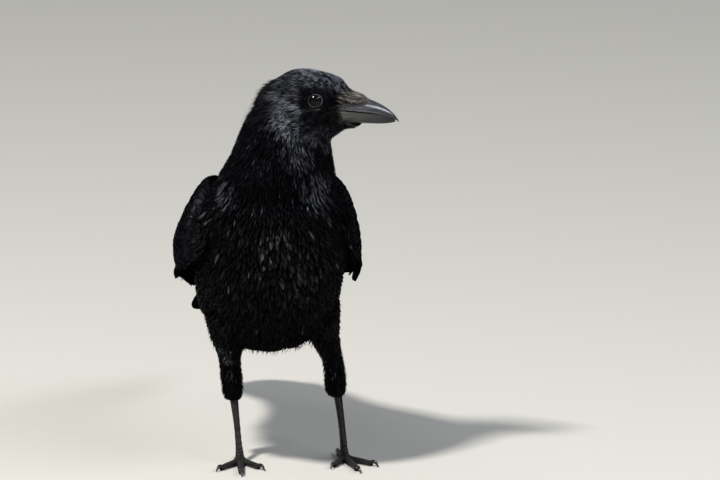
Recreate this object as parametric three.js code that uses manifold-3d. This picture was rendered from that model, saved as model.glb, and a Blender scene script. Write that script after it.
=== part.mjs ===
// A carrion crow at life size, standing on the floor with its head turned to its left.
// Millimetres. The bird faces -Y, its left side is +X and +Z is up.
import * as THREE from "three";
import { mergeVertices } from "three/addons/utils/BufferGeometryUtils.js";
import Module from "manifold-3d";

const wasm = await Module();
wasm.setup();

// ---- Driving sizes --------------------------------------------------------------------------
const GAP = 0.3; // clearance between pieces that touch
const WING_GAP = 0.6; // clearance round the folded wings
const AROUND = 20; // corners round the body, neck and head
const LIMB_AROUND = 14; // corners round a feathered leg
const LIMB_RINGS = 10;
const SHANK_AROUND = 10;
const SHANK_RINGS = 7;
const TAIL_LENGTH = 183;
const FEATHER_THICKNESS = 1.4;
const EYE_RADIUS = 8; // the eyeball
const EYE_OPENING = 5.9; // radius of the opening between the lids
// How far a flat face may stray from the curve that it stands for: body, wings, and small pieces.
const FACET_ERROR = 0.13;
const WING_FACET_ERROR = 0.3;
const FINE_FACET_ERROR = 0.05;
const LEFT = 1;
const RIGHT = -1;
const SIDES = [
  ["left", LEFT],
  ["right", RIGHT],
];

// ---- Materials ------------------------------------------------------------------------------
const finish = (color, roughness) =>
  new THREE.MeshStandardMaterial({ color, roughness, metalness: 0 });
const PLUMAGE = finish(0x0c0c10, 0.5);
const FLIGHT = finish(0x0a0b10, 0.38);
const HORN = finish(0x26272b, 0.3);
const EYE = finish(0x0d0907, 0.05);
const SCALES = finish(0x16161a, 0.5);

const bird = new THREE.Group();

// ---- Tools for shapes -----------------------------------------------------------------------
const at = (x, y, z) => new THREE.Vector3(x, y, z);

// A closed geometry as a solid, with its faces pointing out.
function solidOf(geometry) {
  const bare = geometry.clone();
  for (const name of ["normal", "uv"]) bare.deleteAttribute(name);
  const merged = mergeVertices(bare, 1e-3);
  const vertProperties = new Float32Array(merged.attributes.position.array);
  const triVerts = new Uint32Array(merged.index.array);
  const made = new wasm.Manifold(new wasm.Mesh({ numProp: 3, vertProperties, triVerts }));
  if (made.volume() > 0) return made;
  triVerts.reverse();
  return new wasm.Manifold(new wasm.Mesh({ numProp: 3, vertProperties, triVerts }));
}

function geometryOf(solid) {
  const mesh = solid.getMesh();
  const geometry = new THREE.BufferGeometry();
  geometry.setAttribute("position", new THREE.BufferAttribute(mesh.vertProperties, 3));
  geometry.setIndex(new THREE.BufferAttribute(mesh.triVerts, 1));
  return geometry;
}

const largest = (solid) =>
  solid.decompose().reduce((best, part) => (part.volume() > best.volume() ? part : best));

// A piece is one body: crumbs and bubbles that cuts leave behind are dropped.
function addPiece(name, solid, material, facetError = FACET_ERROR) {
  const plain = solid.asOriginal().simplify(facetError);
  const whole = largest(solidOf(geometryOf(largest(plain))));
  const piece = new THREE.Mesh(geometryOf(whole), material);
  piece.name = name;
  bird.add(piece);
}

// A smooth function through rows of [place, value, value, ...]; it returns the list of values.
function through(rows) {
  const slope = (i, k) => {
    const before = rows[Math.max(i - 1, 0)];
    const after = rows[Math.min(i + 1, rows.length - 1)];
    return (after[k] - before[k]) / (after[0] - before[0]);
  };
  return (place) => {
    let i = 0;
    while (i < rows.length - 2 && place > rows[i + 1][0]) i++;
    const [low, high] = [rows[i], rows[i + 1]];
    const span = high[0] - low[0];
    const t = (place - low[0]) / span;
    return low.slice(1).map((value, n) => {
      const k = n + 1;
      const rise = high[k] - value;
      const a = slope(i, k) * span - rise;
      const b = rise - slope(i + 1, k) * span;
      return value + t * rise + t * (1 - t) * ((1 - t) * a + t * b);
    });
  };
}

const steps = (from, to, count) =>
  Array.from({ length: count + 1 }, (_, i) => from + ((to - from) * i) / count);

// A closed skin over rings of corners, with a fan over each end.
function loft(rings) {
  const around = rings[0].length;
  const corners = rings.flat();
  const faces = [];
  rings.slice(1).forEach((_, r) => {
    for (let i = 0; i < around; i++) {
      const a = r * around + i;
      const b = r * around + ((i + 1) % around);
      faces.push(a, b, a + around, b, b + around, a + around);
    }
  });
  const middle = (ring) =>
    ring.reduce((sum, p) => sum.add(p), at(0, 0, 0)).divideScalar(around);
  const first = corners.push(middle(rings[0])) - 1;
  const last = corners.push(middle(rings[rings.length - 1])) - 1;
  const end = (rings.length - 1) * around;
  for (let i = 0; i < around; i++) {
    const j = (i + 1) % around;
    faces.push(first, j, i, last, end + i, end + j);
  }
  const geometry = new THREE.BufferGeometry().setFromPoints(corners);
  geometry.setIndex(faces);
  return solidOf(geometry);
}

// An oval ring: across and up are the half-axis directions, up and down have their own heights.
// A squareness over 1 fills the corners out.
function oval(centre, across, up, width, high, low, count = AROUND, squareness = 1) {
  const power = 1 / squareness;
  return steps(0, 2 * Math.PI, count)
    .slice(0, count)
    .map((angle) => {
      const c = Math.cos(angle);
      const s = Math.sin(angle);
      return centre
        .clone()
        .addScaledVector(across, width * Math.sign(c) * Math.abs(c) ** power)
        .addScaledVector(up, (s > 0 ? high : low) * Math.sign(s) * Math.abs(s) ** power);
    });
}

// A limb along a path of rows [x, y, z, half-width, half-depth from front to back].
function limb(rows, count, rings, grow = 0) {
  const path = through(rows.map((row, i) => [i, ...row]));
  const places = steps(0, rows.length - 1, rings);
  return loft(
    places.map((place, i) => {
      const [x, y, z, width, depth] = path(place);
      const next = path(places[Math.min(i + 1, rings)]);
      const last = path(places[Math.max(i - 1, 0)]);
      const along = at(next[0] - last[0], next[1] - last[1], next[2] - last[2]).normalize();
      const front = along.clone().cross(at(1, 0, 0)).normalize();
      const across = front.clone().cross(along).normalize();
      return oval(at(x, y, z), across, front, width + grow, depth + grow, depth + grow, count);
    }),
  );
}

// A box that holds everything on the far side of a plane, from point along normal.
function halfSpace(point, normal, size = 700) {
  const box = new THREE.BoxGeometry(size, size, size).translate(0, 0, size / 2);
  const turn = new THREE.Quaternion().setFromUnitVectors(at(0, 0, 1), normal.clone().normalize());
  return solidOf(box.applyQuaternion(turn).translate(point.x, point.y, point.z));
}

const above = halfSpace(at(0, 0, 0), at(0, 0, 1));

// ---- Trunk ----------------------------------------------------------------------------------
// Sections from the neck to under the tail. Each row is the place of the section, the back's
// outline y, z, the breast's and belly's outline y, z, and the half-width.
const trunkSections = through([
  [0, -16, 240, -56, 228, 26],
  [1, 5, 238, -64, 207, 45],
  [2, 25, 225, -68, 179, 52.5],
  [3, 43, 208.5, -64, 149, 55],
  [4, 60, 192.5, -47, 119, 55.5],
  [5, 77, 178, -19, 97, 54.5],
  [6, 95, 165, 15, 87, 50.5],
  [7, 112, 153.5, 48, 88, 43],
  [8, 129, 143, 82, 93.5, 34],
  [9, 144, 133.5, 114, 101.5, 25.5],
  [10, 157, 125.5, 146, 112, 16],
]);

function trunkSolid(grow) {
  return loft(
    steps(0, 10, 15).map((place) => {
      const [backY, backZ, bellyY, bellyZ, width] = trunkSections(place);
      const up = at(0, backY - bellyY, backZ - bellyZ);
      const half = up.length() / 2;
      const centre = at(0, (backY + bellyY) / 2, (backZ + bellyZ) / 2);
      up.normalize();
      return oval(centre, at(1, 0, 0), up, width + grow, half + grow, half + grow);
    }),
  );
}

// ---- Neck -----------------------------------------------------------------------------------
// Level sections: height, centre x, centre y, half-width and half-depth.
const neckSections = through([
  [186, 0, -16, 22, 20],
  [200, 0, -18, 36, 32],
  [212, 0, -21, 43.5, 38],
  [222, 0.5, -24, 46, 39],
  [231, 1.4, -26, 45, 38],
  [238, 2.4, -27, 42.6, 36.5],
  [247, 4.6, -28, 39.2, 33],
  [256, 5.8, -28, 36.9, 30.5],
  [266, 5.6, -28, 32.8, 27.5],
  [276, 7.4, -28, 29.8, 24],
  [285, 9, -28, 25, 20],
  [297, 10.5, -28, 13, 13],
]);

function neckSolid(grow) {
  return loft(
    steps(186, 297, 14).map((height) => {
      const [x, y, width, depth] = neckSections(height);
      const [wide, deep] = [width + grow, depth + grow];
      return oval(at(x, y, height), at(1, 0, 0), at(0, 1, 0), wide, deep, deep);
    }),
  );
}
const bodyClear = (gap) => trunkSolid(gap).add(neckSolid(gap));

// ---- Head -----------------------------------------------------------------------------------
// The head has its own frame: +X along the bill, +Z to the crown, with its origin between the
// eyes. It is turned to the bird's left, nods a little and leans its crown to the front.
const HEAD_TURN = -8;
const HEAD_NOD = 0;
const HEAD_LEAN = 8;
const degrees = THREE.MathUtils.degToRad;
const headFrame = new THREE.Matrix4()
  .makeRotationZ(degrees(HEAD_TURN))
  .multiply(new THREE.Matrix4().makeRotationY(degrees(HEAD_NOD)))
  .multiply(new THREE.Matrix4().makeRotationX(degrees(HEAD_LEAN)))
  .setPosition(28.8, -28.3, 293);

const inHead = (solid) => solid.transform(headFrame.elements);

// A solid from sections across the bill's axis: rows of place, top, bottom and half-width.
function headLoft(rows, rings, count, squareness) {
  const section = through(rows);
  return loft(
    steps(rows[0][0], rows[rows.length - 1][0], rings).map((x) => {
      const [top, bottom, width] = section(x);
      const half = (top - bottom) / 2;
      const centre = at(x, 0, bottom + half);
      return oval(centre, at(0, 1, 0), at(0, 0, 1), width, half, half, count, squareness);
    }),
  );
}

const skull = headLoft(
  [
    [-43.5, -4, -13, 5],
    [-41, 1.2, -22, 12.5],
    [-35, 8.2, -30, 18.5],
    [-27, 12.9, -35, 21.5],
    [-19, 18.5, -37, 22.8],
    [-9, 21.3, -38, 22.6],
    [3, 20.2, -37.5, 20],
    [12, 18.2, -34, 15],
    [19.7, 15.8, -29.8, 10],
    [24.3, 12.3, -25.6, 7.6],
    [28, 5.6, -22.8, 5.6],
  ],
  12,
  AROUND,
  1,
);

// The stiff bristles that lie forward over the nostrils, and the feathers of the chin.
const bristlePad = headLoft(
  [
    [12, 12, -7, 11.5],
    [24, 7.8, -5.4, 10.2],
    [30, 2.4, -5.4, 9.2],
    [35.7, 1.0, -5.6, 8.0],
    [38.8, -0.5, -5.0, 6.6],
    [40.6, -1.9, -3.8, 4.4],
  ],
  7,
  16,
  1.1,
);
const chin = headLoft(
  [
    [8, -20, -34.4, 10],
    [14.4, -19.6, -29.4, 8.6],
    [20.5, -19.4, -25.7, 7.4],
    [29.6, -19.4, -24.8, 5.8],
    [36, -19.6, -23, 3.8],
    [39, -19.8, -21.2, 2],
  ],
  5,
  12,
  1,
);

// ---- Bill -----------------------------------------------------------------------------------
// Half of a bill: an arch over or under the cutting edge, from rows of place along the bill,
// ridge height, cutting edge height and half-width. Its inner face is hollowed a little.
const BILL_ROUNDNESS = 0.92;
const BILL_HOLLOW = 0.12; // of the half-width
const UPPER_BILL_RINGS = 14;
const LOWER_BILL_RINGS = 12;
function billSolid(rows, rings, grow, overbite = 0) {
  const section = through(rows);
  return loft(
    steps(rows[0][0], rows[rows.length - 1][0], rings).map((place, i) => {
      const [ridge, edge, width] = section(place);
      const x = place + (i === 0 ? -grow : i === rings ? grow : 0);
      const rise = ridge - edge;
      const out = Math.sign(rise);
      const base = edge - out * overbite;
      const arch = steps(0, Math.PI, 12).map((angle) =>
        at(
          x,
          (width + grow) * Math.cos(angle),
          base + (rise + out * (grow + overbite)) * Math.sin(angle) ** BILL_ROUNDNESS,
        ),
      );
      const floor = [-0.5, 0, 0.5].map((share) => {
        const hollow = BILL_HOLLOW * width * (1 - share ** 2);
        return at(x, share * (width + grow), base - out * (grow - hollow));
      });
      return [...arch, ...floor];
    }),
  );
}

const upperBillRows = [
  [10, 0, -7, 8.3],
  [20, 0.5, -8.1, 8.9],
  [30, 0.3, -9.4, 8.6],
  [36, -0.6, -10.2, 8],
  [40.3, -1.9, -10.8, 7.3],
  [48.2, -5, -12.5, 5.8],
  [55.5, -9.4, -14.7, 4.1],
  [60.4, -13.6, -17, 2.5],
  [63.4, -17.4, -19.2, 1.1],
  [64.7, -19.8, -20.5, 0.4],
];
const lowerBillRows = [
  [10, -19.8, -7.3, 8],
  [20.5, -20.2, -8.5, 8.5],
  [30, -20.6, -9.7, 7.9],
  [40, -21.1, -11.1, 6.4],
  [50.9, -21.4, -13.6, 4.2],
  [58, -21, -16.4, 2.2],
  [61.8, -20, -18.4, 0.7],
];
const upperBill = billSolid(upperBillRows, UPPER_BILL_RINGS, 0);
const lowerBill = billSolid(lowerBillRows, LOWER_BILL_RINGS, 0).subtract(
  billSolid(upperBillRows, UPPER_BILL_RINGS, GAP),
);

// ---- Eyes -----------------------------------------------------------------------------------
const EYE_PLACE = 1.5; // the eyeball's middle along the bill's axis
const EYE_DEPTH = 10.4; // from the head's middle to the middle of the eyeball
const EYE_FORWARD = 4; // degrees that the eye looks forward of sideways
const EYE_RISE = 9; // degrees that the eye looks upwards
const FLARE_START = 4.7; // from the eyeball's middle to the inner end of the lids' opening
const FLARE_LENGTH = 9;
const FLARE_OUTER = EYE_OPENING + 1.6;
const FLARE_INNER = EYE_OPENING - 0.6;
const eyeBall = (side, radius) =>
  solidOf(new THREE.SphereGeometry(radius, 12, 8).translate(EYE_PLACE, side * EYE_DEPTH, 0));

// The opening between the lids flares outwards from the eyeball.
function eyeOpening(side) {
  const flare = new THREE.CylinderGeometry(FLARE_OUTER, FLARE_INNER, FLARE_LENGTH, 14);
  flare.translate(0, FLARE_START + FLARE_LENGTH / 2, 0);
  if (side < 0) flare.rotateX(Math.PI);
  flare.rotateX(degrees(side * EYE_RISE));
  flare.rotateZ(degrees(-side * EYE_FORWARD));
  return solidOf(flare.translate(EYE_PLACE, side * EYE_DEPTH, 0));
}

const billClear = billSolid(upperBillRows, UPPER_BILL_RINGS, GAP, 1).add(
  billSolid(lowerBillRows, LOWER_BILL_RINGS, GAP, 1),
);
let headWhole = skull.add(bristlePad).add(chin).subtract(billClear);
for (const [, side] of SIDES)
  headWhole = headWhole.subtract(eyeBall(side, EYE_RADIUS + GAP)).subtract(eyeOpening(side));

// ---- Head, neck and trunk, parted by thin cuts ------------------------------------------------
const NECK_TOP = at(12, -28, 268);
const NECK_TOP_SLOPE = at(0.42, 0, 1).normalize();
const NECK_BOTTOM = at(0, -24, 233);
const NECK_BOTTOM_SLOPE = at(0, -0.36, 1).normalize();
const apart = (point, slope, way) => point.clone().addScaledVector(slope, (way * GAP) / 2);

const headPlaced = inHead(headWhole);
const keptClear = inHead(billClear)
  .add(inHead(eyeBall(LEFT, EYE_RADIUS + GAP)))
  .add(inHead(eyeBall(RIGHT, EYE_RADIUS + GAP)));
const body = headPlaced.add(neckSolid(0).subtract(keptClear)).add(trunkSolid(0));
const overNeckTop = halfSpace(apart(NECK_TOP, NECK_TOP_SLOPE, 1), NECK_TOP_SLOPE);
const underNeckTop = halfSpace(
  apart(NECK_TOP, NECK_TOP_SLOPE, -1),
  NECK_TOP_SLOPE.clone().negate(),
);
const overNeckBottom = halfSpace(apart(NECK_BOTTOM, NECK_BOTTOM_SLOPE, 1), NECK_BOTTOM_SLOPE);
const underNeckBottom = halfSpace(
  apart(NECK_BOTTOM, NECK_BOTTOM_SLOPE, -1),
  NECK_BOTTOM_SLOPE.clone().negate(),
);

// ---- Wings ----------------------------------------------------------------------------------
// The folded wing is a curved sheet. Each row is its place from the wrist to the tip, then the
// points x, y, z on its upper edge, its middle and its lower edge, its inward thickness, and how
// far its shoulder swells out above the middle.
const wingSections = through([
  [0, 47, -20, 214, 56, -33, 197, 55, -37, 180, 5, 0.4],
  [1, 45, 4, 226.5, 60.3, -13, 200, 64, -20, 167, 14, 2.6],
  [2, 39, 30, 222.5, 67.2, 13, 188, 69.5, 8, 154.5, 16, 2.4],
  [3, 28, 60, 204, 68, 46, 173, 67, 42, 146, 15, 2.2],
  [4, 21, 94, 180, 57.5, 83, 154, 55, 84, 130, 11, 2.4],
  [5, 16, 132, 157, 41, 124, 136, 38.5, 128, 116.5, 6, 2],
  [6, 12, 173, 132, 32, 169, 122, 33, 172, 109.5, 3.4, 1],
  [7, 14, 210, 111.5, 26, 208, 106.5, 28.5, 210, 99.5, 2.4, 0.5],
  [8, 18, 245, 89.5, 21.5, 246, 88, 23, 246, 86.5, 1.4, 0],
]);

// The point of the wing's outer face at a place along it and a share from its upper edge down.
const SWELL_SCALE = 10.4; // makes the swelling's peak, a fifth of the way down, about 1
function wingPoint(side, along, down) {
  const v = wingSections(along);
  const upper = (1 - down) * (1 - 2 * down);
  const middle = 4 * down * (1 - down);
  const lower = down * (2 * down - 1);
  const swell = v[10] * SWELL_SCALE * down * (1 - down) * (1 - 2 * down);
  const mix = (k) => upper * v[k] + middle * v[k + 3] + lower * v[k + 6];
  return at(side * (mix(0) + swell), mix(1), mix(2) + 0.5 * swell);
}

function wingNormal(side, along, down) {
  const d = 0.02;
  const lengthwise = wingPoint(side, along + d, down).sub(wingPoint(side, along - d, down));
  const downward = wingPoint(side, along, down + d).sub(wingPoint(side, along, down - d));
  return lengthwise.cross(downward).multiplyScalar(-side).normalize();
}

// The arm with its coverts: a thick lens as far as the secondaries. Its inner face starts from
// thin edges, and is at least RIM of the full thickness behind them.
const ARM_EDGE = 0.16;
const ARM_RIM = 0.35;
const ARM_END = 4.6;
function armSolid(side) {
  return loft(
    steps(0, ARM_END, 9).map((along) => {
      const thick = wingSections(along)[9];
      const outer = steps(0, 1, 7).map((down) => wingPoint(side, along, down));
      const inner = steps(1, 0, 5).map((down) => {
        const share = ARM_RIM + (1 - ARM_RIM) * Math.sin(Math.PI * down);
        const fade = down === 1 || down === 0 ? ARM_EDGE : share;
        const normal = wingNormal(side, along, down);
        return wingPoint(side, along, down).addScaledVector(normal, -thick * fade);
      });
      return [...outer, ...inner];
    }),
  );
}

// A flight feather lying on the wing: a thin lens whose width swells and closes to a tip.
// from and to are [place along, share down]; under is how deep it lies below the outer face.
function quill(side, from, to, width, under) {
  const along = (t) => from[0] + (to[0] - from[0]) * t;
  const down = (t) => from[1] + (to[1] - from[1]) * t;
  const place = (t) => wingPoint(side, along(t), down(t));
  return loft(
    [0, 0.3, 0.55, 0.78, 0.93, 1].map((t) => {
      const normal = wingNormal(side, Math.min(along(t), 7.9), down(t));
      const heading = place(Math.min(t + 0.02, 1)).sub(place(t - 0.02)).normalize();
      const across = normal.clone().cross(heading).normalize();
      const swell = Math.min(1, 0.55 + 0.9 * t) * Math.sqrt(Math.max(0.012, 1 - t ** 7));
      const centre = place(t).addScaledVector(normal, -under);
      const half = FEATHER_THICKNESS / 2;
      return oval(centre, across, normal, (width / 2) * swell, half, half, 6, 1.2);
    }),
  );
}

// Rows of start along and down, tip along and down, width and depth under the face.
const primaryRows = [
  [2.8, 0.9, 5.9, 0.93, 17, 1.3],
  [3.0, 0.8, 7.2, 0.84, 18, 1.6],
  [3.2, 0.7, 8.0, 0.58, 19, 1.9],
  [3.3, 0.58, 7.5, 0.3, 20, 1.5],
  [3.4, 0.46, 6.7, 0.16, 20, 1.1],
];
const secondaryRows = [
  [3.2, 0.62, 5.55, 0.68, 26, 0.4],
  [3.2, 0.42, 5.8, 0.44, 28, 0],
  [3.0, 0.22, 5.85, 0.2, 28, -0.4],
];
// Feathers whose tips hang at the lower edge of the arm.
const lowerEdgeRows = [
  [1.2, 0.86, 2.75, 1.03, 15, 1.0],
  [1.8, 0.84, 3.5, 1.03, 16, 1.6],
  [2.4, 0.84, 4.35, 1.02, 16, 1.9],
];
const quills = (side, rows) =>
  rows
    .map(([a, b, c, d, width, under]) => quill(side, [a, b], [c, d], width, under))
    .reduce((all, one) => all.add(one));

// ---- Tail -----------------------------------------------------------------------------------
// Twelve rectrices like a closed fan: the middle pair on top, each next one a little lower,
// shorter and turned further out.
const TAIL_ROOT = at(0, 102, 148.5);
const TAIL_TIP = at(0, 261, 67.5);
const TAIL_TURN = 0.6; // degrees to the bird's right
const FAN_STEP = 0.95; // degrees from one pair to the next
const RECTRIX_WIDTH = 28;

function rectrix(side, pair, grow) {
  const shape = new THREE.Shape();
  const length = TAIL_LENGTH - 0.55 * pair * pair + grow;
  const half = RECTRIX_WIDTH / 2 + grow;
  shape.moveTo(-grow, -3 - grow);
  shape.lineTo(length * 0.35, -half * 0.8);
  shape.lineTo(length * 0.8, -half);
  shape.quadraticCurveTo(length, -half * 0.9, length, 0);
  shape.quadraticCurveTo(length, half * 0.9, length * 0.8, half);
  shape.lineTo(length * 0.35, half * 0.8);
  shape.lineTo(-grow, 3 + grow);
  const depth = FEATHER_THICKNESS + 2 * grow;
  const blade = new THREE.ExtrudeGeometry(shape, { depth, bevelEnabled: false, curveSegments: 3 });
  blade.translate(0, 0, -0.75 * pair - (side > 0 ? 0.35 : 0) - grow);
  blade.rotateX(side * degrees(-1.2 * pair));
  blade.translate(0, side * (0.6 + 1.3 * pair), 0);
  blade.rotateZ(degrees(side * (0.6 + FAN_STEP * pair)) + Math.PI / 2);
  blade.rotateX(-Math.atan2(TAIL_ROOT.z - TAIL_TIP.z, TAIL_TIP.y - TAIL_ROOT.y));
  blade.rotateZ(degrees(TAIL_TURN));
  return solidOf(blade.translate(TAIL_ROOT.x, TAIL_ROOT.y, TAIL_ROOT.z));
}

function tailSolid(grow) {
  const pairs = [0, 1, 2, 3, 4, 5];
  const blades = SIDES.flatMap(([, side]) => pairs.map((pair) => rectrix(side, pair, grow)));
  return blades.reduce((all, one) => all.add(one));
}

const tail = tailSolid(0).subtract(trunkSolid(GAP));

// ---- Legs -----------------------------------------------------------------------------------
// Feathered legs down to the heel, bare scaly shanks, and four toes flat on the floor. Rows of
// x, y, z and radius for the feathered leg and the shank, and where each foot stands.
const legs = {
  right: {
    feathered: [
      [-33, 0, 124, 19, 27],
      [-32, 11, 104, 14, 19],
      [-30, 19, 87, 9, 12.5],
      [-28.6, 25, 74, 8.2, 9.2],
      [-26.8, 29.5, 60, 8.7, 8.8],
      [-26, 31.5, 52, 8.1, 8.2],
      [-25.8, 32, 47, 6.2, 6.4],
    ],
    shank: [
      [-25.8, 31.5, 56, 3.6, 4.4],
      [-25, 30, 46, 2.7, 3.4],
      [-24, 25, 31, 2.3, 2.9],
      [-23.2, 20, 17, 2.3, 2.8],
      [-22.7, 17.3, 8.5, 2.9, 3],
      [-22.5, 16, 4.6, 3.6, 3.2],
    ],
    foot: at(-22.4, 15, 0),
    heading: -5,
  },
  left: {
    feathered: [
      [34.8, 0, 124, 18, 27],
      [41, 11, 104, 12.6, 19],
      [46.2, 19, 88, 8.8, 12.5],
      [50.2, 25, 76, 8, 9.2],
      [52.4, 29.5, 62, 8.8, 8.8],
      [53, 31.5, 52.5, 8.2, 8.2],
      [53, 32, 47.5, 6.4, 6.6],
    ],
    shank: [
      [53, 31.5, 56, 3.6, 4.4],
      [54.6, 30, 46, 2.7, 3.4],
      [56, 25, 31, 2.3, 2.9],
      [57, 20, 17, 2.3, 2.8],
      [57.6, 17.3, 8.5, 2.9, 3],
      [57.8, 16, 4.6, 3.6, 3.2],
    ],
    foot: at(57.9, 15, 0),
    heading: 8,
  },
};

// Toes by name: heading from straight ahead towards the outer side, length, radius, claw length.
const toes = {
  middle: [0, 38, 2.75, 12],
  inner: [-34, 25, 2.7, 11],
  outer: [33, 28, 2.6, 10],
  hind: [180, 17, 2.8, 13],
};
const KNUCKLE_LIFT = 0.62; // the toe's middle is this share of its radius above the floor
const JOINTS = { middle: 2, inner: 2, outer: 2, hind: 1 };

// A toe in its own frame, along +X from the ball of the foot, on the floor at z = 0.
function toeSolid(name) {
  const [, length, radius] = toes[name];
  const rings = 6;
  return loft(
    steps(0, 1, rings).map((t) => {
      const pad = 1 + 0.13 * Math.cos(2 * Math.PI * JOINTS[name] * t);
      const taper = 1.12 - 0.32 * t;
      const end = t === 1 ? 0.62 : 1;
      const r = radius * taper * pad * end;
      const centre = at(-2 + (length + 2) * t, 0, radius * KNUCKLE_LIFT + 0.35);
      return oval(centre, at(0, 1, 0), at(0, 0, 1), r, r * 1.02, r, 7);
    }),
  ).intersect(above);
}

// A claw in the toe's frame: a tapering horn along an arc that comes down to the floor.
const CLAW_BEND = 1.25; // how far round its arc the tip is, in radians
function clawSolid(name, grow = 0) {
  const [, length, radius, claw] = toes[name];
  const start = length - 1.2;
  return loft(
    [0, 0.25, 0.5, 0.75, 1].map((t) => {
      const bend = t * CLAW_BEND;
      const reach = claw * 0.86;
      const x = start + reach * (Math.sin(bend) / Math.sin(CLAW_BEND)) - (t === 0 ? grow : 0);
      const rise = radius * 0.82 + 1.9 * Math.sin(Math.PI * Math.min(t * 1.15, 1)) - 1.75 * t * t;
      const r = Math.max(0.28, 1.75 * (1 - t) ** 0.75);
      const along = at(Math.cos(bend), 0, -Math.sin(bend) * 0.8).normalize();
      const up = at(-along.z, 0, along.x);
      const [wide, tall] = [r * 0.8 + grow, r + grow];
      return oval(at(x, 0, Math.max(rise, r + 0.12)), at(0, 1, 0), up, wide, tall, tall, 6);
    }),
  );
}

function placeToe(solid, side, leg, name) {
  const [heading] = toes[name];
  const outward = heading * side + leg.heading;
  const turn = new THREE.Matrix4()
    .makeRotationZ(degrees(-90 + outward))
    .setPosition(leg.foot);
  return solid.transform(turn.elements);
}

for (const [sideName, side] of SIDES) {
  const leg = legs[sideName];
  const feathered = limb(leg.feathered, LIMB_AROUND, LIMB_RINGS).subtract(bodyClear(GAP));
  const featheredClear = limb(leg.feathered, LIMB_AROUND, LIMB_RINGS, GAP);
  const shank = limb(leg.shank, SHANK_AROUND, SHANK_RINGS).subtract(featheredClear);
  const ball = solidOf(
    new THREE.SphereGeometry(4.6, 10, 8).scale(1.05, 1.15, 0.8).translate(0, 0.6, 2.6),
  ).transform(new THREE.Matrix4().setPosition(leg.foot).elements);
  let foot = ball.intersect(above);
  for (const name of Object.keys(toes)) foot = foot.add(placeToe(toeSolid(name), side, leg, name));
  for (const name of Object.keys(toes)) {
    foot = foot.subtract(placeToe(clawSolid(name, GAP), side, leg, name));
    const claw = placeToe(clawSolid(name), side, leg, name);
    addPiece(`claw_${sideName}_${name}`, claw, HORN, FINE_FACET_ERROR);
  }
  const shankClear = limb(leg.shank, SHANK_AROUND, SHANK_RINGS, GAP);
  addPiece(`thigh_${sideName}`, feathered, PLUMAGE);
  addPiece(`shank_${sideName}`, shank, SCALES, FINE_FACET_ERROR);
  addPiece(`foot_${sideName}`, foot.subtract(shankClear), SCALES, FINE_FACET_ERROR);
}

// ---- The wings, cut clear of the body and parted at the secondaries ---------------------------
const WING_CUTS = [
  [at(0, 96, 150), at(0, 0.86, -0.5).normalize()],
  [at(0, 148.5, 130), at(0, 0.86, -0.5).normalize()],
];
for (const [sideName, side] of SIDES) {
  const whole = armSolid(side)
    .add(quills(side, primaryRows))
    .add(quills(side, secondaryRows))
    .add(quills(side, lowerEdgeRows))
    .subtract(bodyClear(WING_GAP))
    .subtract(tailSolid(WING_GAP))
    .subtract(limb(legs[sideName].feathered, LIMB_AROUND, LIMB_RINGS, WING_GAP));
  const [[first, slope], [second]] = WING_CUTS;
  const before = (point) => halfSpace(apart(point, slope, -1), slope.clone().negate());
  const after = (point) => halfSpace(apart(point, slope, 1), slope);
  addPiece(`wing_${sideName}`, whole.intersect(before(first)), PLUMAGE, WING_FACET_ERROR);
  const middle = whole.intersect(after(first)).intersect(before(second));
  addPiece(`secondaries_${sideName}`, middle, FLIGHT, WING_FACET_ERROR);
  const ends = whole.intersect(after(second));
  addPiece(`primaries_${sideName}`, ends, FLIGHT, WING_FACET_ERROR);
}

addPiece("head", body.intersect(overNeckTop), PLUMAGE);
addPiece("neck", body.intersect(underNeckTop).intersect(overNeckBottom), PLUMAGE);
addPiece("trunk", body.intersect(underNeckBottom), PLUMAGE);
addPiece("upper_bill", inHead(upperBill), HORN);
addPiece("lower_bill", inHead(lowerBill), HORN);
for (const [sideName, side] of SIDES)
  addPiece(`eye_${sideName}`, inHead(eyeBall(side, EYE_RADIUS)), EYE);
addPiece("tail", tail, FLIGHT);

// The origin is the floor point under the middle of the whole bird.
const whole = new THREE.Box3().setFromObject(bird);
const middle = whole.getCenter(at(0, 0, 0));
bird.position.set(-middle.x, -middle.y, -whole.min.z);

export default bird;
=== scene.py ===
import math

import bmesh
import bpy
import numpy as np
from mathutils import Matrix, Vector
from mathutils.bvhtree import BVHTree
from mathutils.kdtree import KDTree


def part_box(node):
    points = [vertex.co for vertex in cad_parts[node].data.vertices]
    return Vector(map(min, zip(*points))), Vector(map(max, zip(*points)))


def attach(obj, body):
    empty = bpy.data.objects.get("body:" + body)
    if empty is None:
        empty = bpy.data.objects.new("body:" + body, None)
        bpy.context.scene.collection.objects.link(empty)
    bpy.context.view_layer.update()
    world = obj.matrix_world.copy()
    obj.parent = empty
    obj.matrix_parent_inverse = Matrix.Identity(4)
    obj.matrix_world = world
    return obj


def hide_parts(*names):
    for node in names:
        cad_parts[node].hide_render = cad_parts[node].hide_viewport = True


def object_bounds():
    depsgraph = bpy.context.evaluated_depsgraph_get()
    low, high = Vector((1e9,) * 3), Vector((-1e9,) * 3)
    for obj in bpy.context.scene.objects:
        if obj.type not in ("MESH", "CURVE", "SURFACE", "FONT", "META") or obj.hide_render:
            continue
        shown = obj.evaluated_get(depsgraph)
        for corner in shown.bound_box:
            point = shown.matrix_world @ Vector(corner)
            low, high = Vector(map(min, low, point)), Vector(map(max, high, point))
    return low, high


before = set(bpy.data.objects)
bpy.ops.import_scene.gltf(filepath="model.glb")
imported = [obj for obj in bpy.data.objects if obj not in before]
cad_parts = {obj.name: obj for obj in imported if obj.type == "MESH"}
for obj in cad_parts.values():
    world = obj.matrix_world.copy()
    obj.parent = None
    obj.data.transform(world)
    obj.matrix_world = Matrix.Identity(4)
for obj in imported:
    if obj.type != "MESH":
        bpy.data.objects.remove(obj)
cad_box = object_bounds()

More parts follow.
